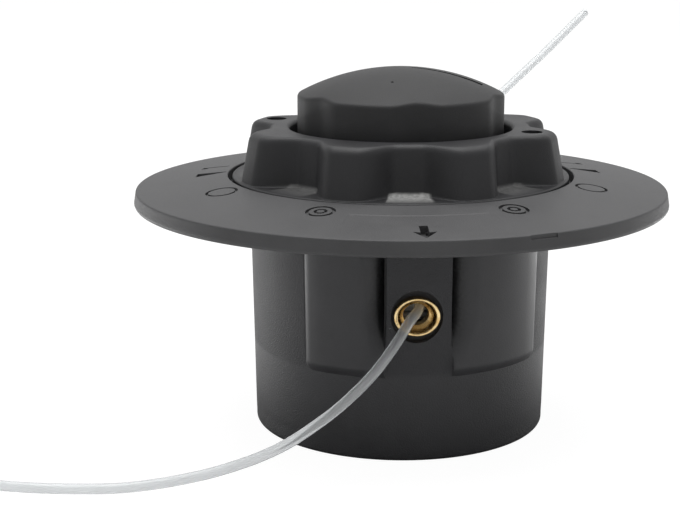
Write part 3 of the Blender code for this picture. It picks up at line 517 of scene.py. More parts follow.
def moulding_grain_group():
    """A shader group for moulded nylon: grain bump, cloudy tone and uneven gloss.

    A noise at the grain's own scale makes the bump; a broad one moves the colour between
    two tones and shifts the roughness a little. Smoothness from 0 to 1 lays the grain flat.
    """
    group = bpy.data.node_groups.new("moulded_nylon_grain", "ShaderNodeTree")
    for socket_name, kind, value in (("Dark Tone", "NodeSocketColor", (0.02, 0.02, 0.021, 1)),
                                     ("Light Tone", "NodeSocketColor", (0.035, 0.035, 0.036, 1)),
                                     ("Grain Scale", "NodeSocketFloat", 2600.0),
                                     ("Grain Height", "NodeSocketFloat", 0.00003),
                                     ("Smoothness", "NodeSocketFloat", 0.0),
                                     ("Rough", "NodeSocketFloat", 0.55),
                                     ("Smooth", "NodeSocketFloat", 0.42)):
        group.interface.new_socket(socket_name, in_out="INPUT", socket_type=kind).default_value = value
    for socket_name, kind in (("Colour", "NodeSocketColor"), ("Roughness", "NodeSocketFloat"),
                              ("Normal", "NodeSocketVector")):
        group.interface.new_socket(socket_name, in_out="OUTPUT", socket_type=kind)
    given = group.nodes.new("NodeGroupInput")
    grain = noise(group, (given, "Grain Scale"), 4.0)
    broad = add_node(group, "MapRange", {"Value": noise(group, 95.0, 5.0), "From Min": 0.32,
                                         "From Max": 0.68})
    speck = calc(group, "MULTIPLY_ADD", grain, 0.5, broad)
    tone = add_node(group, "Mix", {"Factor": speck, "A": (given, "Dark Tone"),
                                   "B": (given, "Light Tone")}, data_type="RGBA")
    flatten = calc(group, "MULTIPLY_ADD", (given, "Smoothness"), -0.85, 1.0)
    height = calc(group, "MULTIPLY", grain, flatten)
    bump = add_node(group, "Bump", {"Height": height, "Strength": 1.0,
                                    "Distance": (given, "Grain Height")})
    gloss = add_node(group, "Mix", {"Factor": (given, "Smoothness"), "A": (given, "Rough"),
                                    "B": (given, "Smooth")})
    shine = calc(group, "MULTIPLY_ADD", broad, 0.08, gloss)
    feed(group, group.nodes.new("NodeGroupOutput"), {"Colour": (tone, "Result"),
                                                     "Roughness": shine, "Normal": bump})
    return group


moulded_grain = moulding_grain_group()


def black_nylon(name, dark, light, grain_scale, grain_height, rough, specular=0.45,
                smooth_mask=None, painted_light_mask=None, painted_light_tone=None):
    """Black moulded nylon: the grain group with this piece's own tones and grain.

    Where a smooth mask is 1 the grain lies flat. Where a painted-light mask is 1 the colour
    moves to a painted light or shade tone, unevenly, by a fine noise.
    """
    material, tree, shader = new_material(name, dark, rough, specular=specular)
    grain = add_node(tree, "Group", {"Dark Tone": (*dark, 1.0), "Light Tone": (*light, 1.0),
                                     "Grain Scale": grain_scale, "Grain Height": grain_height,
                                     "Rough": rough}, node_tree=moulded_grain)
    feed(tree, shader, {"Base Color": (grain, "Colour"), "Roughness": (grain, "Roughness"),
                        "Normal": (grain, "Normal")})
    if smooth_mask:
        mask = add_node(tree, "Attribute", attribute_name=smooth_mask)
        feed(tree, grain, {"Smoothness": (mask, "Fac")})
    if painted_light_mask:
        # Painted light or shade: this mask moves the colour towards a tone that stands in for light.
        mask = add_node(tree, "Attribute", attribute_name=painted_light_mask)
        uneven = add_node(tree, "MapRange", {"Value": noise(tree, 1500.0, 3.0), "From Min": 0.30,
                                             "From Max": 0.62, "To Min": 0.55})
        amount = calc(tree, "MULTIPLY", (mask, "Fac"), uneven)
        painted_light_mix = add_node(tree, "Mix", {"Factor": amount, "A": (grain, "Colour"),
                                        "B": (*painted_light_tone, 1.0)}, data_type="RGBA")
        feed(tree, shader, {"Base Color": (painted_light_mix, "Result")})
    return material


def hex_radius(azimuths, flats):
    """The radius of a regular hexagon, corner at azimuth 0: flats / 2 / cos(turn from a flat)."""
    return flats / 2 / np.cos(np.radians((azimuths % 60.0) - 30.0))


def mould_housing():
    """The cup as one turned surface, from the roof of the shaft's bore round to the post's top.

    The wall's radius is the drafted cone less the recesses, plus the two keys for the disc.
    """
    edges = [edge + turn for turn in (0.0, 180.0) for pocket in POCKETS for edge in pocket]
    key_edges = np.array([place + side * (DISC_KEY_HALF_TURN + slack) for place in DISC_KEY_AZIMUTHS
                          for side in (-1, 1) for slack in (0.0, 0.15)])
    azimuths = np.unique(np.concatenate([azimuth_columns(1.2, edges, 6.6, 0.4), key_edges]))
    count = len(azimuths)
    hexagon = hex_radius(azimuths, NUT_FLATS)
    bore = rounded([(0, SHAFT_DEPTH, 0), (SHAFT_RADIUS, SHAFT_DEPTH, 0.0003),
                    (SHAFT_RADIUS, NUT_POCKET[1], 0.0003), (hexagon, NUT_POCKET[1], 0.0003),
                    (hexagon, NUT_POCKET[0], 0.0003), (SHAFT_RADIUS, NUT_POCKET[0], 0.0003),
                    (SHAFT_RADIUS, SHAFT_CHAMFER, 0.0002), (SHAFT_RADIUS + SHAFT_CHAMFER, 0, 0.0002),
                    (HOUSING_RADIUS, 0, FOOT_ROUNDING), (HOUSING_RADIUS, FOOT_ROUNDING * 2, 0)],
                   count, closed=False)
    levels = np.concatenate([np.linspace(FOOT_ROUNDING * 2, POCKET_FOOT - 0.0006, 9)[1:],
                             np.arange(POCKET_FOOT - 0.0003, POCKET_FOOT + 0.0040, 0.0002),
                             np.linspace(POCKET_FOOT + 0.0046, housing_top - 0.0038, 18),
                             housing_top - np.array([0.0037, 0.0036, 0.0026, 0.0016, 0.0006, 0.0005])])
    z = levels[:, None]
    depth, finish, hollow = pocket_depth(azimuths[None, :], z)
    from_key = np.min([np.abs(turn_from(azimuths, place)) for place in DISC_KEY_AZIMUTHS], 0)
    key = ((from_key[None, :] <= DISC_KEY_HALF_TURN) & (z > housing_top - DISC_KEY_DEPTHS[1])
           & (z < housing_top - DISC_KEY_DEPTHS[0]))
    wall = HOUSING_RADIUS + HOUSING_DRAFT * z / housing_top - depth + DISC_KEY_REACH * key + 1j * z
    from_thick = np.abs(turn_from(azimuths, sum(THICK_WALL_SPAN) / 2, 180.0))
    thick = smooth_step(((THICK_WALL_SPAN[1] - THICK_WALL_SPAN[0]) / 2 - from_thick) / 1.2 + 0.5)
    rim = HOUSING_RADIUS + HOUSING_DRAFT
    neck = rim - HOUSING_WALL
    foot = HOUSING_RADIUS - HOUSING_WALL
    inside = rounded([(rim, housing_top - 0.0005, 0), (rim, housing_top, 0.0002),
                      (neck + (THICK_WALL_INNER - neck) * thick, housing_top, 0.0003),
                      (foot + (THICK_WALL_INNER - foot) * thick, HOUSING_FLOOR, 0.0005),
                      (HUB_RADIUS, HOUSING_FLOOR, 0.0005), (HUB_RADIUS, HUB_TOP, 0.0003),
                      (POST_RADIUS, HUB_TOP, 0.0004), (POST_RADIUS, POST_TOP, 0.0008), (0, POST_TOP, 0)],
                     count, closed=False)[1:]
    profile = np.vstack([bore, wall, inside])
    smooth, shade = np.zeros(profile.shape), np.zeros(profile.shape)
    on_wall = slice(len(bore), len(bore) + len(wall))
    smooth[on_wall] = np.maximum(finish, 0.6 * smooth_step((POCKET_FOOT - z) / 0.001 + 1))
    shade[on_wall] = hollow
    return turned_surface("cup_housing", profile, azimuths, closed=False,
                          masks=[("smooth_floor", smooth), ("valley_painted_shade", shade)])


def seat_cutter(azimuth):
    """The stepped hole for one eyelet, with a small chamfer at the seat's mouth."""
    seat, hole = EYELET_SEAT_RADIUS, EYELET_BARREL + EYELET_CLEARANCE
    inner, floor = THICK_WALL_INNER - 2 * OVERSHOOT, EYELET_SEAT - EYELET_CLEARANCE
    outer, axis = EYELET_FACE + OVERSHOOT, 1e-5
    profile = np.array([axis + 1j * inner, hole + 1j * inner, hole + 1j * floor, seat + 1j * floor,
                        seat + 1j * (EYELET_FACE - SEAT_MOUTH), seat + SEAT_MOUTH + 1j * outer,
                        axis + 1j * outer])
    return turned_across("seat_cutter", profile, 96, azimuth)


cup_housing = mould_housing()
cut_away(cup_housing, [seat_cutter(0.0), seat_cutter(180.0)])
# In the valleys the colour moves to the painted shade tone; elsewhere it is the nylon's own.
coat(cup_housing, black_nylon("spark_eroded_nylon", (0.024, 0.024, 0.026), (0.040, 0.040, 0.043),
                              3400.0, 0.00016, 0.56, smooth_mask="smooth_floor",
                              painted_light_mask="valley_painted_shade", painted_light_tone=PAINTED_SHADE_TONE))
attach(cup_housing, "housing")
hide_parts("housing")

# Eyelets
# Turned brass bushes, one pressed into each boss: a barrel through the wall and a flared,
# polished mouth that the line can bend round without chafing.
EYELET_THROAT = 0.0025
EYELET_FLANGE_RADIUS = 0.00445
EYELET_OVAL_SHARE = 0.86
EYELET_LIP = 0.0004
EYELET_FUNNEL = 0.0024
FUNNEL_BELLY = 0.00022


def turned_brass():
    """Brass with fine tool rings round its bore, a little browner in the grain's dips.

    The rings are a sine of the distance from the eyelet's axis: the root of x squared plus
    the square of the height above that axis.
    """
    material, tree, shader = new_material("turned_brass", (0.80, 0.58, 0.27), 0.2, metallic=1.0)
    split = add_node(tree, "SeparateXYZ", {0: (add_node(tree, "TexCoord"), "Object")})
    square_x = calc(tree, "MULTIPLY", (split, "X"), (split, "X"))
    lift = calc(tree, "SUBTRACT", (split, "Z"), EYELET_HEIGHT)
    square_z = calc(tree, "MULTIPLY", lift, lift)
    radius = calc(tree, "SQRT", calc(tree, "ADD", square_x, square_z))
    wave = calc(tree, "SINE", calc(tree, "MULTIPLY", radius, 42000.0))
    bump = add_node(tree, "Bump", {"Height": wave, "Strength": 0.35, "Distance": 0.00001})
    smear = noise(tree, 900.0, 4.0)
    tone = add_ramp(tree, smear, (0.62, 0.40, 0.16), (0.88, 0.68, 0.36), start=0.3, end=0.62)
    rub = add_node(tree, "MapRange", {"Value": smear, "To Min": 0.12, "To Max": 0.34})
    feed(tree, shader, {"Base Color": tone, "Roughness": rub, "Normal": bump})
    return material


eyelet_brass = turned_brass()


def turn_eyelet(name, node, azimuth):
    """One eyelet: barrel, flange with a full round lip, and a funnel down to the throat."""
    inner_end = THICK_WALL_INNER - EYELET_CLEARANCE
    back = rounded([(EYELET_THROAT, inner_end, 0.0002), (EYELET_BARREL, inner_end, 0.0002),
                    (EYELET_BARREL, EYELET_SEAT, 0.0002), (EYELET_FLANGE_RADIUS, EYELET_SEAT, 0.0002)],
                   1, closed=False)[1:, 0]
    turn = np.radians(np.linspace(0, 150, 14))
    lip_arc = (EYELET_FLANGE_RADIUS - EYELET_LIP + EYELET_LIP * np.cos(turn)
               + 1j * (EYELET_FACE - EYELET_LIP + EYELET_LIP * np.sin(turn)))
    start, end = lip_arc[-1], EYELET_THROAT + 1j * (EYELET_FACE - EYELET_FUNNEL)
    share = np.linspace(0, 1, 12)[1:]
    belly = start + (end - start) * share + FUNNEL_BELLY * np.sin(np.pi * share) * (1 - 1j)
    profile = np.concatenate([[EYELET_THROAT + 1j * inner_end], back, lip_arc, belly])
    eyelet = turned_across(name, profile, 96, azimuth, EYELET_OVAL_SHARE)
    coat(eyelet, eyelet_brass)
    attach(eyelet, "housing")
    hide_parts(node)


turn_eyelet("front_brass_eyelet", "front_eyelet", 0.0)
turn_eyelet("rear_brass_eyelet", "rear_eyelet", 180.0)

# Drive nut, spring and washer
# Zinc-plated steel: the nut moulded into the hub for the gearbox shaft, and the coil spring
# that holds the spool up in its teeth through a thrust washer.
SPRING_WIRE = 0.0014
SPRING_TURNS = 5.0
SPRING_END_TURNS = 0.8
SPRING_STILL_TURNS = 0.2
SPRING_CLOSING = 0.55
spring_low, spring_high = (corner.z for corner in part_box("spring"))
spring_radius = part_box("spring")[1].x - SPRING_WIRE / 2


def zinc_plated_steel():
    """Zinc plate: pale grey metal, clouded by a broad noise in tone and gloss."""
    material, tree, shader = new_material("zinc_plated_steel", (0.55, 0.56, 0.58), 0.34, metallic=1.0)
    cloud = noise(tree, 420.0, 5.0)
    tone = add_ramp(tree, cloud, (0.42, 0.43, 0.45), (0.66, 0.67, 0.68))
    rub = add_node(tree, "MapRange", {"Value": cloud, "To Min": 0.26, "To Max": 0.44})
    feed(tree, shader, {"Base Color": tone, "Roughness": rub})
    return material


zinc_steel = zinc_plated_steel()
for node_name in ("thrust_washer", "drive_nut"):
    coat(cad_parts[node_name], zinc_steel)


def wind_spring():
    """A round wire along a helix whose first and last turns close up.

    Height mixes a smooth step between the closed ends with an even climb; the section is a
    circle across the path, and both ends shrink to a point.
    """
    turn = np.linspace(0, SPRING_TURNS, 321)
    climb = smooth_step((turn - SPRING_END_TURNS) / (SPRING_TURNS - 2 * SPRING_END_TURNS))
    even = np.clip((turn - SPRING_STILL_TURNS) / (SPRING_TURNS - 2 * SPRING_STILL_TURNS), 0, 1)
    climb = SPRING_CLOSING * climb + (1 - SPRING_CLOSING) * even
    z = spring_low + SPRING_WIRE / 2 + (spring_high - spring_low - SPRING_WIRE) * climb
    angle = turn * 2 * np.pi
    out = np.column_stack([np.cos(angle), np.sin(angle), np.zeros(len(turn))])
    path = out * spring_radius + np.column_stack([np.zeros((len(turn), 2)), z])
    along = np.gradient(path, axis=0)
    along /= np.linalg.norm(along, axis=1)[:, None]
    up = np.cross(along, out)
    around = np.linspace(0, 2 * np.pi, 20, endpoint=False)[None, :, None]
    points = path[:, None] + (out[:, None] * np.cos(around) + up[:, None] * np.sin(around)) * SPRING_WIRE / 2
    count = points.shape[1]
    points = np.concatenate([np.repeat(path[:1, None], count, 1), points,
                             np.repeat(path[-1:, None], count, 1)])
    return new_piece("coil_spring", points, grid_quads(len(points), count, closed=False))


coil_spring = wind_spring()
coat(coil_spring, zinc_steel)
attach(coil_spring, "housing")
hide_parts("spring")
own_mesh(coil_spring)

# Spool and its line
# The spool is moulded in the same nylon, a shade lighter. Its two chambers are wound with the
# line, turn beside turn.


def wound_line():
    """Turns of line: a sine up the axis rounds each turn and paints shade into the gap between two."""
    material, tree, shader = new_material("wound_line", (0.84, 0.86, 0.86), 0.3)
    split = add_node(tree, "SeparateXYZ", {0: (add_node(tree, "TexCoord"), "Object")})
    wave = calc(tree, "SINE", calc(tree, "MULTIPLY", (split, "Z"), math.pi / LINE_DIAMETER))
    turn = calc(tree, "ABSOLUTE", wave)
    # Painted shade: the colour darkens towards the gap between two turns.
    tone = add_ramp(tree, turn, (0.16, 0.17, 0.17), (0.84, 0.86, 0.86), start=0.05, end=0.55)
    bump = add_node(tree, "Bump", {"Height": turn, "Distance": LINE_DIAMETER / 3})
    feed(tree, shader, {"Base Color": tone, "Normal": bump})
    return material


spool_nylon = black_nylon("spool_nylon_finish", (0.05, 0.05, 0.053), (0.075, 0.075, 0.08),
                          2200.0, 0.00003, 0.5)
wound_nylon = wound_line()
for node_name, finish in (("spool", spool_nylon), ("lower_winding", wound_nylon),
                          ("upper_winding", wound_nylon)):
    coat(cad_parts[node_name], finish)

# Skid disc
# A wide thin disc in the same nylon that keeps the head off the ground: a shallow cone with
# a stepped seat for the collar, twelve ribs below, and small moulded marks on top.
DISC_RADIUS = 0.0540
RIM_FLARE = 0.0005
RIM_HEIGHT = 0.0031
CONE_RISE = 0.0026
STEP_RADIUS = 0.0353
DISC_WALL = 0.0022
DISC_WEB = 0.0027
SLEEVE_RADII = (0.0311, 0.0333)
SLEEVE_HEIGHT = 0.0036
DISC_HOLE = 0.0284
RIB_COUNT = 12
RIB_THICKNESS = 0.0014
RIB_REACH = 0.0470
DISC_MARKS_TURN = -1.4
PANEL_HALF_TURN = 18.0
PANEL_RADII = (0.0410, 0.0463)
PANEL_DEPTH = 0.00010
MARK_DEPTH = 0.0005
WEDGE_DEPTH = 0.0012
ARROW_DEPTH = 0.0016
NOTCH_DEPTH = 0.0008
NOTCH_AZIMUTH = 21.5
RING_SIDES = 36
disc_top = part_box("skid_disc")[1].z
disc_web_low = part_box("skid_disc")[0].z + SLEEVE_HEIGHT
rim_top = disc_top - CONE_RISE


def cone_height(radius):
    """Height of the disc's top face: it rises evenly from the rim to the step."""
    return rim_top + CONE_RISE * (DISC_RADIUS - radius) / (DISC_RADIUS - STEP_RADIUS)


def disc_surface():
    """The disc turned as one surface, with the bare name panel sunk a little into its top."""
    panel_edges = [DISC_MARKS_TURN + side * PANEL_HALF_TURN for side in (-1, 1)]
    azimuths = azimuth_columns(1.0, panel_edges, 1.0, 0.2)
    below = STEP_RADIUS + DISC_WALL
    web_top, sleeve_low = disc_web_low + DISC_WEB, disc_web_low - SLEEVE_HEIGHT
    rim_low, inner_rim = rim_top - RIM_HEIGHT, DISC_RADIUS - DISC_WALL
    under = rounded([(STEP_RADIUS + 0.0030, cone_height(STEP_RADIUS + 0.0006) - 0.0003, 0),
                     (STEP_RADIUS, disc_top, 0.00025), (STEP_RADIUS, web_top, 0.0003),
                     (DISC_HOLE, web_top, 0.0002), (DISC_HOLE, disc_web_low, 0.0002),
                     (SLEEVE_RADII[0], disc_web_low, 0.0003), (SLEEVE_RADII[0], sleeve_low, 0.0003),
                     (SLEEVE_RADII[1], sleeve_low, 0.0003), (SLEEVE_RADII[1], disc_web_low, 0.0004),
                     (STEP_RADIUS, disc_web_low, 0.0003), (below, cone_height(below) - DISC_WALL, 0.0006),
                     (inner_rim, cone_height(inner_rim) - DISC_WALL, 0.0006),
                     (DISC_RADIUS - DISC_WALL / 2, rim_low, 0.0002),
                     (DISC_RADIUS + RIM_FLARE, rim_low, 0.0007), (DISC_RADIUS, rim_top, 0.0004),
                     (DISC_RADIUS - 0.0020, cone_height(DISC_RADIUS - 0.0020), 0)],
                    len(azimuths), closed=False)[1:-1]
    edge_steps = np.array([0.0002, 0.0001, 0.0, -0.0001, -0.0002])
    radii = np.concatenate([np.linspace(DISC_RADIUS - 0.0016, PANEL_RADII[1] + 0.0008, 10),
                            PANEL_RADII[1] + edge_steps,
                            np.linspace(PANEL_RADII[1] - 0.0008, PANEL_RADII[0] + 0.0008, 5),
                            PANEL_RADII[0] + edge_steps,
                            np.linspace(PANEL_RADII[0] - 0.0008, STEP_RADIUS + 0.0008, 6)])[:, None]
    from_middle = np.abs(turn_from(azimuths, DISC_MARKS_TURN))[None, :]
    sunk = (smooth_step((PANEL_HALF_TURN - from_middle) / 0.4 + 0.5)
            * smooth_step((PANEL_RADII[1] - radii) / 0.0003 + 0.5)
            * smooth_step((radii - PANEL_RADII[0]) / 0.0003 + 0.5))
    top = radii + 1j * (cone_height(radii) - PANEL_DEPTH * sunk)
    return turned_surface("skid_disc_moulding", np.vstack([under, top]), azimuths, closed=True)


def prism_faces(count):
    """Faces of an upright prism whose lower outline comes first: floor, roof and sides."""
    here = np.arange(count)
    after = np.roll(here, -1)
    sides = np.column_stack([here, after, after + count, here + count])
    return [here[::-1].tolist(), (here + count).tolist(), *sides.tolist()]


def sunk_mark(outline, azimuth, radius, depth):
    """Vertices and faces of a prism that cuts one mark: outline is tangential + i radial."""
    x, y = at_azimuth(azimuth + DISC_MARKS_TURN, radius + outline.imag, outline.real)
    surface = cone_height(np.hypot(x, y))
    vertices = np.vstack([np.column_stack([x, y, surface + level]) for level in (-depth, OVERSHOOT)])
    return vertices, prism_faces(len(outline))


def sunk_ring(size, line, azimuth, radius, depth):
    """Vertices and faces of a ring that cuts an engraved circle, its line this wide."""
    angle = np.linspace(0, 2 * np.pi, RING_SIDES, endpoint=False)[None, :]
    grown = size + np.array([-0.5, 0.5, 0.5, -0.5])[:, None] * line
    level = np.array([-depth, -depth, OVERSHOOT, OVERSHOOT])[:, None]
    x, y = at_azimuth(azimuth + DISC_MARKS_TURN, radius + grown * np.sin(angle), grown * np.cos(angle))
    points = np.stack([x, y, cone_height(np.hypot(x, y)) + level], -1)
    return points.reshape(-1, 3), grid_quads(4, RING_SIDES, closed=True).tolist()


def arrow_outline(length, shaft, head):
    """An arrow that points outwards, as tangential + i radial from its tail."""
    return np.array([-shaft / 2, shaft / 2, shaft / 2 + 1j * length * 0.55, head / 2 + 1j * length * 0.5,
                     1j * length, -head / 2 + 1j * length * 0.5, -shaft / 2 + 1j * length * 0.55])


def disc_marks():
    """One cutter with every mark: arrow, ringed spots, rings, wedges, hooks and rim notch."""
    wedge = np.array([-0.0002, 0.0002, 0.0018 + 0.0062j, -0.0018 + 0.0062j])
    hook = np.array([0.0, 0.0006, 0.0006 + 0.0045j, 0.0016 + 0.0045j, 0.0016 + 0.0058j, 0.0058j])
    notch = np.array([-0.0028, 0.0028, 0.0028 + 0.0030j, -0.0028 + 0.0030j])
    marks = [sunk_mark(arrow_outline(0.0065, 0.0016, 0.0044), 0.0, 0.0462, ARROW_DEPTH)]
    for side in (-1, 1):
        marks += [sunk_ring(0.0025, 0.0007, side * 26.0, 0.0405, MARK_DEPTH),
                  sunk_ring(0.0010, 0.0006, side * 26.0, 0.0405, MARK_DEPTH),
                  sunk_ring(0.0029, 0.0006, side * 65.5, 0.0398, MARK_DEPTH),
                  sunk_mark(wedge, side * 95.0, 0.0358, WEDGE_DEPTH),
                  sunk_mark(hook, side * 108.0, 0.0370, MARK_DEPTH)]
    marks.append(sunk_mark(notch, NOTCH_AZIMUTH - DISC_MARKS_TURN, DISC_RADIUS - 0.0002, NOTCH_DEPTH))
    faces, start = [], 0
    for mark_vertices, mark_faces in marks:
        faces += [[index + start for index in face] for face in mark_faces]
        start += len(mark_vertices)
    return new_piece("disc_marks", np.vstack([mark_vertices for mark_vertices, _ in marks]), faces)


def rib_plates():
    """The ribs under the disc: one upright plate each, from the sleeve outwards."""
    sleeve, sunk = SLEEVE_RADII[1] - 0.0005, DISC_WALL / 2
    under = cone_height(RIB_REACH)
    outline = np.array([sleeve + 1j * (disc_web_low - SLEEVE_HEIGHT + sunk),
                        RIB_REACH + 1j * (under - DISC_WALL), RIB_REACH + 1j * (under - sunk),
                        sleeve + 1j * (disc_web_low + sunk)])
    azimuths = np.arange(RIB_COUNT)[:, None, None] * 360.0 / RIB_COUNT
    side = np.array([-0.5, 0.5])[None, :, None] * RIB_THICKNESS
    x, y = at_azimuth(azimuths, outline.real[None, None, :], side)
    box = np.array([[0, 1, 2, 3], [7, 6, 5, 4], [0, 4, 5, 1], [1, 5, 6, 2], [2, 6, 7, 3], [3, 7, 4, 0]])
    faces = (box[None] + 8 * np.arange(RIB_COUNT)[:, None, None]).reshape(-1, 4)
    return new_piece("disc_ribs", np.stack([x, y, np.broadcast_to(outline.imag, x.shape)], -1), faces)


skid_disc_moulding = disc_surface()
cut_away(skid_disc_moulding, [disc_marks()])
disc_nylon = black_nylon("disc_nylon", (0.044, 0.044, 0.046), (0.066, 0.066, 0.068), 5200.0, 0.00006, 0.5)
for disc_piece in (skid_disc_moulding, rib_plates()):
    coat(disc_piece, disc_nylon)
    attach(disc_piece, "housing")
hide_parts("skid_disc")

# Collar
# The locking ring, gripped by its eight lobes and turned with a pin spanner in two holes.
# Its skirt carries the bayonet lugs, the knob stands out through its bore, and the feet of
# its scallops carry a painted highlight, brightest on the front one.
COLLAR_RADIUS = 0.0344
LOBE_TOP_RADIUS = 0.0319
LOBE_FOOT_RADIUS = 0.0338
SCALLOP_RADIUS = 0.0267
SCALLOP_DRAFT = 0.0006
SCALLOP_FILLET = 0.0010
LOBE_FILLET = 0.00025
COLLAR_BORE = 0.0226
SKIRT_RADIUS = 0.0258
LEDGE_INNER = 0.0162
LEDGE_THICKNESS = 0.0023
FLANGE_THICKNESS = 0.0022
LOBE_PITCH = 45.0
COLLAR_TURN = -3.0
SCALLOP_FLOOR_SHARE = 0.09
LOBE_EDGE_SHARE = 0.41
SPANNER_RADIUS = 0.0021
SPANNER_DISTANCE = 0.0275
SPANNER_DEPTH = 0.0060
SPANNER_LOBES = (1, 5)
# Painted highlight on the scallops' feet: where it lies, how it fades, and its pale tone.
HIGHLIGHT_REACH = 0.0316
HIGHLIGHT_HEIGHT = 0.0009
HIGHLIGHT_FADE = 0.0004
HIGHLIGHT_HALF_TURN = 8.4
HIGHLIGHT_ELSEWHERE = 0.25
PAINTED_HIGHLIGHT_TONE = (0.52, 0.52, 0.51)
collar_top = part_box("collar")[1].z
collar_low = 0.0399
flange_top = disc_top
flange_low = flange_top - FLANGE_THICKNESS


def collar_surface():
    """The collar as one turned surface whose outside swings between lobe and scallop."""
    azimuths = np.arange(-180.0, 180.0, 0.625)
    from_scallop = np.abs(turn_from(azimuths, COLLAR_TURN, LOBE_PITCH))
    lobe = smooth_step((from_scallop / LOBE_PITCH - SCALLOP_FLOOR_SHARE)
                       / (LOBE_EDGE_SHARE - SCALLOP_FLOOR_SHARE))
    scallop_foot = SCALLOP_RADIUS + SCALLOP_DRAFT
    foot = scallop_foot + (LOBE_FOOT_RADIUS - scallop_foot) * lobe
    head = SCALLOP_RADIUS + (LOBE_TOP_RADIUS - SCALLOP_RADIUS) * lobe
    fillet = SCALLOP_FILLET + (LOBE_FILLET - SCALLOP_FILLET) * lobe
    ledge_top = collar_low + LEDGE_THICKNESS
    profile = rounded([(LEDGE_INNER, collar_low, 0.0003), (SKIRT_RADIUS, collar_low, 0.0004),
                       (SKIRT_RADIUS, flange_low, 0.0003), (COLLAR_RADIUS, flange_low, 0.0002),
                       (COLLAR_RADIUS, flange_top, 0.0004), (foot, flange_top, fillet),
                       (head, collar_top, 0.0013 + 0.0006 * lobe), (COLLAR_BORE, collar_top, 0.0009),
                       (COLLAR_BORE, ledge_top, 0.0003), (LEDGE_INNER, ledge_top, 0.0003)],
                      len(azimuths), closed=True, steps=6)
    # Painted highlight: a pale tone on the scallops' feet, full on the front scallop and a quarter of it on
    # the others.
    on_foot = (smooth_step((profile.real - SCALLOP_RADIUS - HIGHLIGHT_FADE) / HIGHLIGHT_FADE)
               * smooth_step((HIGHLIGHT_REACH - profile.real) / HIGHLIGHT_FADE)
               * smooth_step((flange_top + HIGHLIGHT_HEIGHT - profile.imag) / 0.0003)
               * (profile.imag > flange_low + 0.001))
    painted_highlight = on_foot * smooth_step((HIGHLIGHT_HALF_TURN - from_scallop) / 1.0)[None, :]
    in_front = np.abs(turn_from(azimuths, COLLAR_TURN)) < LOBE_PITCH / 2
    painted_highlight = painted_highlight * np.where(in_front, 1.0, HIGHLIGHT_ELSEWHERE)[None, :]
    return turned_surface("lobed_collar", profile, azimuths, closed=True, masks=[("painted_highlight_foot", painted_highlight)])


def upright_pin(name, azimuth, distance, radius, low, high, sides=48):
    """A round cutter that stands along Z."""
    angle = np.linspace(0, 2 * np.pi, sides, endpoint=False)
    middle_x, middle_y = at_azimuth(azimuth, distance)
    x, y = middle_x + radius * np.cos(angle), middle_y + radius * np.sin(angle)
    points = np.vstack([np.column_stack([x, y, np.full(sides, level)]) for level in (low, high)])
    return new_piece(name, points, prism_faces(sides))


lobed_collar = collar_surface()
cut_away(lobed_collar, [upright_pin("spanner_hole", COLLAR_TURN + LOBE_PITCH * (lobe + 0.5),
                                    SPANNER_DISTANCE, SPANNER_RADIUS, collar_top - SPANNER_DEPTH,
                                    collar_top + OVERSHOOT) for lobe in SPANNER_LOBES])
coat(lobed_collar, black_nylon("collar_nylon", (0.010, 0.010, 0.011), (0.019, 0.019, 0.021),
                               5200.0, 0.00005, 0.46, specular=0.40,
                               painted_light_mask="painted_highlight_foot", painted_light_tone=PAINTED_HIGHLIGHT_TONE))
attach(lobed_collar, "collar")
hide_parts("collar")

# Tap knob
# A domed cap pushed onto the spool's tube. Tapping it on the ground drops the spool off its
# teeth; six shallow scallops let it be wound by hand.
KNOB_RADIUS = 0.0210
KNOB_PITCH = 60.0
KNOB_TURN = 2.5
KNOB_SCALLOP_DEPTH = 0.0010
KNOB_SHOULDER = 0.0009
KNOB_WALL = 0.0020
DOME_CURVE = 0.0440
DOME_SHARE = 0.93
SOCKET_RADII = (0.0129, 0.0149)
GROOVE_AZIMUTH = 74.5
GROOVE_REACH = (0.0022, 0.0166)
GROOVE_WIDTH = 0.0018
GROOVE_DEPTH = 0.0013
PIT_AZIMUTH = -14.4
PIT_DISTANCE = 0.0120
PIT_RADIUS = 0.0003
PIT_DEPTH = 0.0003
knob_low, knob_top = (corner.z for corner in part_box("tap_knob"))


def dome_height(radius):
    """Height of the knob's spherical top at a distance from the axis."""
    return knob_top - DOME_CURVE + np.sqrt(DOME_CURVE ** 2 - radius ** 2)


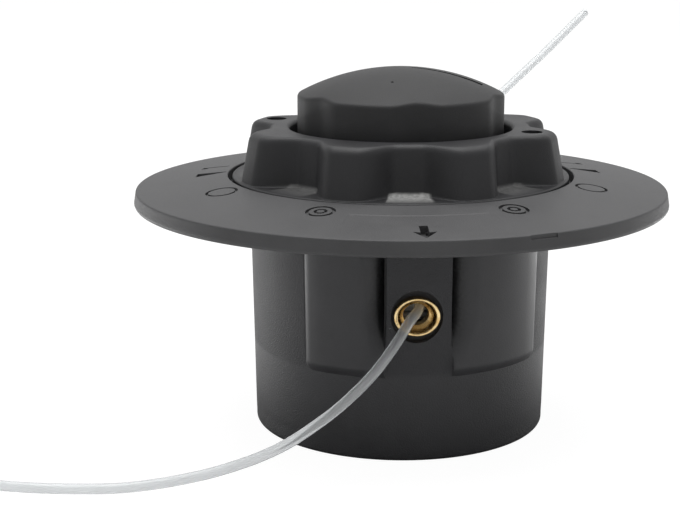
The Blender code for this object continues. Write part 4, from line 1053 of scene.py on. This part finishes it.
def knob_surface():
    """The knob as one turned surface: dome, round shoulder, scalloped side, hollow inside."""
    azimuths = np.arange(-180.0, 180.0, 1.0)
    from_scallop = np.abs(turn_from(azimuths, KNOB_TURN, KNOB_PITCH))
    side = KNOB_RADIUS - KNOB_SCALLOP_DEPTH * (1 - smooth_step(from_scallop / KNOB_PITCH / 0.25))
    dome = side[None, :] * np.linspace(0, DOME_SHARE, 22)[:, None]
    dome = dome + 1j * dome_height(dome)
    inner = KNOB_RADIUS - KNOB_SCALLOP_DEPTH - KNOB_WALL
    rest = rounded([(side * DOME_SHARE, dome_height(side * DOME_SHARE), 0),
                    (side, dome_height(side), KNOB_SHOULDER), (side, knob_low, 0.0003),
                    (inner, knob_low, 0.0003), (inner, dome_height(inner) - KNOB_WALL, 0.0005),
                    (SOCKET_RADII[1], dome_height(SOCKET_RADII[1]) - KNOB_WALL, 0.0003),
                    (SOCKET_RADII[1], knob_low, 0.0003), (SOCKET_RADII[0], knob_low, 0.0003),
                    (SOCKET_RADII[0], dome_height(SOCKET_RADII[0]) - KNOB_WALL, 0.0003),
                    (0, knob_top - KNOB_WALL, 0)], len(azimuths), closed=False)[1:]
    return turned_surface("domed_knob", np.vstack([dome, rest]), azimuths, closed=False)


def dome_groove_cutter():
    """A slot that runs outwards on the dome, widening and deepening from its inner end."""
    share = np.linspace(0, 1, 25)[:, None]
    radius = GROOVE_REACH[0] + (GROOVE_REACH[1] - GROOVE_REACH[0]) * share
    deep = GROOVE_DEPTH * (0.25 + 0.75 * smooth_step(share * 2.5))
    width = GROOVE_WIDTH * (0.35 + 0.65 * share)
    x, y = at_azimuth(GROOVE_AZIMUTH, radius, np.array([-0.5, -0.5, 0.5, 0.5]) * width)
    above = np.array([True, False, False, True])
    height = dome_height(radius) + np.where(above, OVERSHOOT, -deep)
    last = (len(share) - 1) * 4
    ends = [[3, 2, 1, 0], [last, last + 1, last + 2, last + 3]]
    faces = grid_quads(len(share), 4, closed=False).tolist() + ends
    return new_piece("dome_groove", np.stack([x, y, height], -1), faces)


domed_knob = knob_surface()
pit_height = float(dome_height(PIT_DISTANCE))
cut_away(domed_knob, [dome_groove_cutter(),
                      upright_pin("dome_pit", PIT_AZIMUTH, PIT_DISTANCE, PIT_RADIUS,
                                  pit_height - PIT_DEPTH, pit_height + OVERSHOOT, sides=16)])
coat(domed_knob, black_nylon("knob_nylon", (0.020, 0.020, 0.021), (0.032, 0.032, 0.033),
                             5600.0, 0.00006, 0.5, specular=0.30))
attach(domed_knob, "spool")
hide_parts("tap_knob")
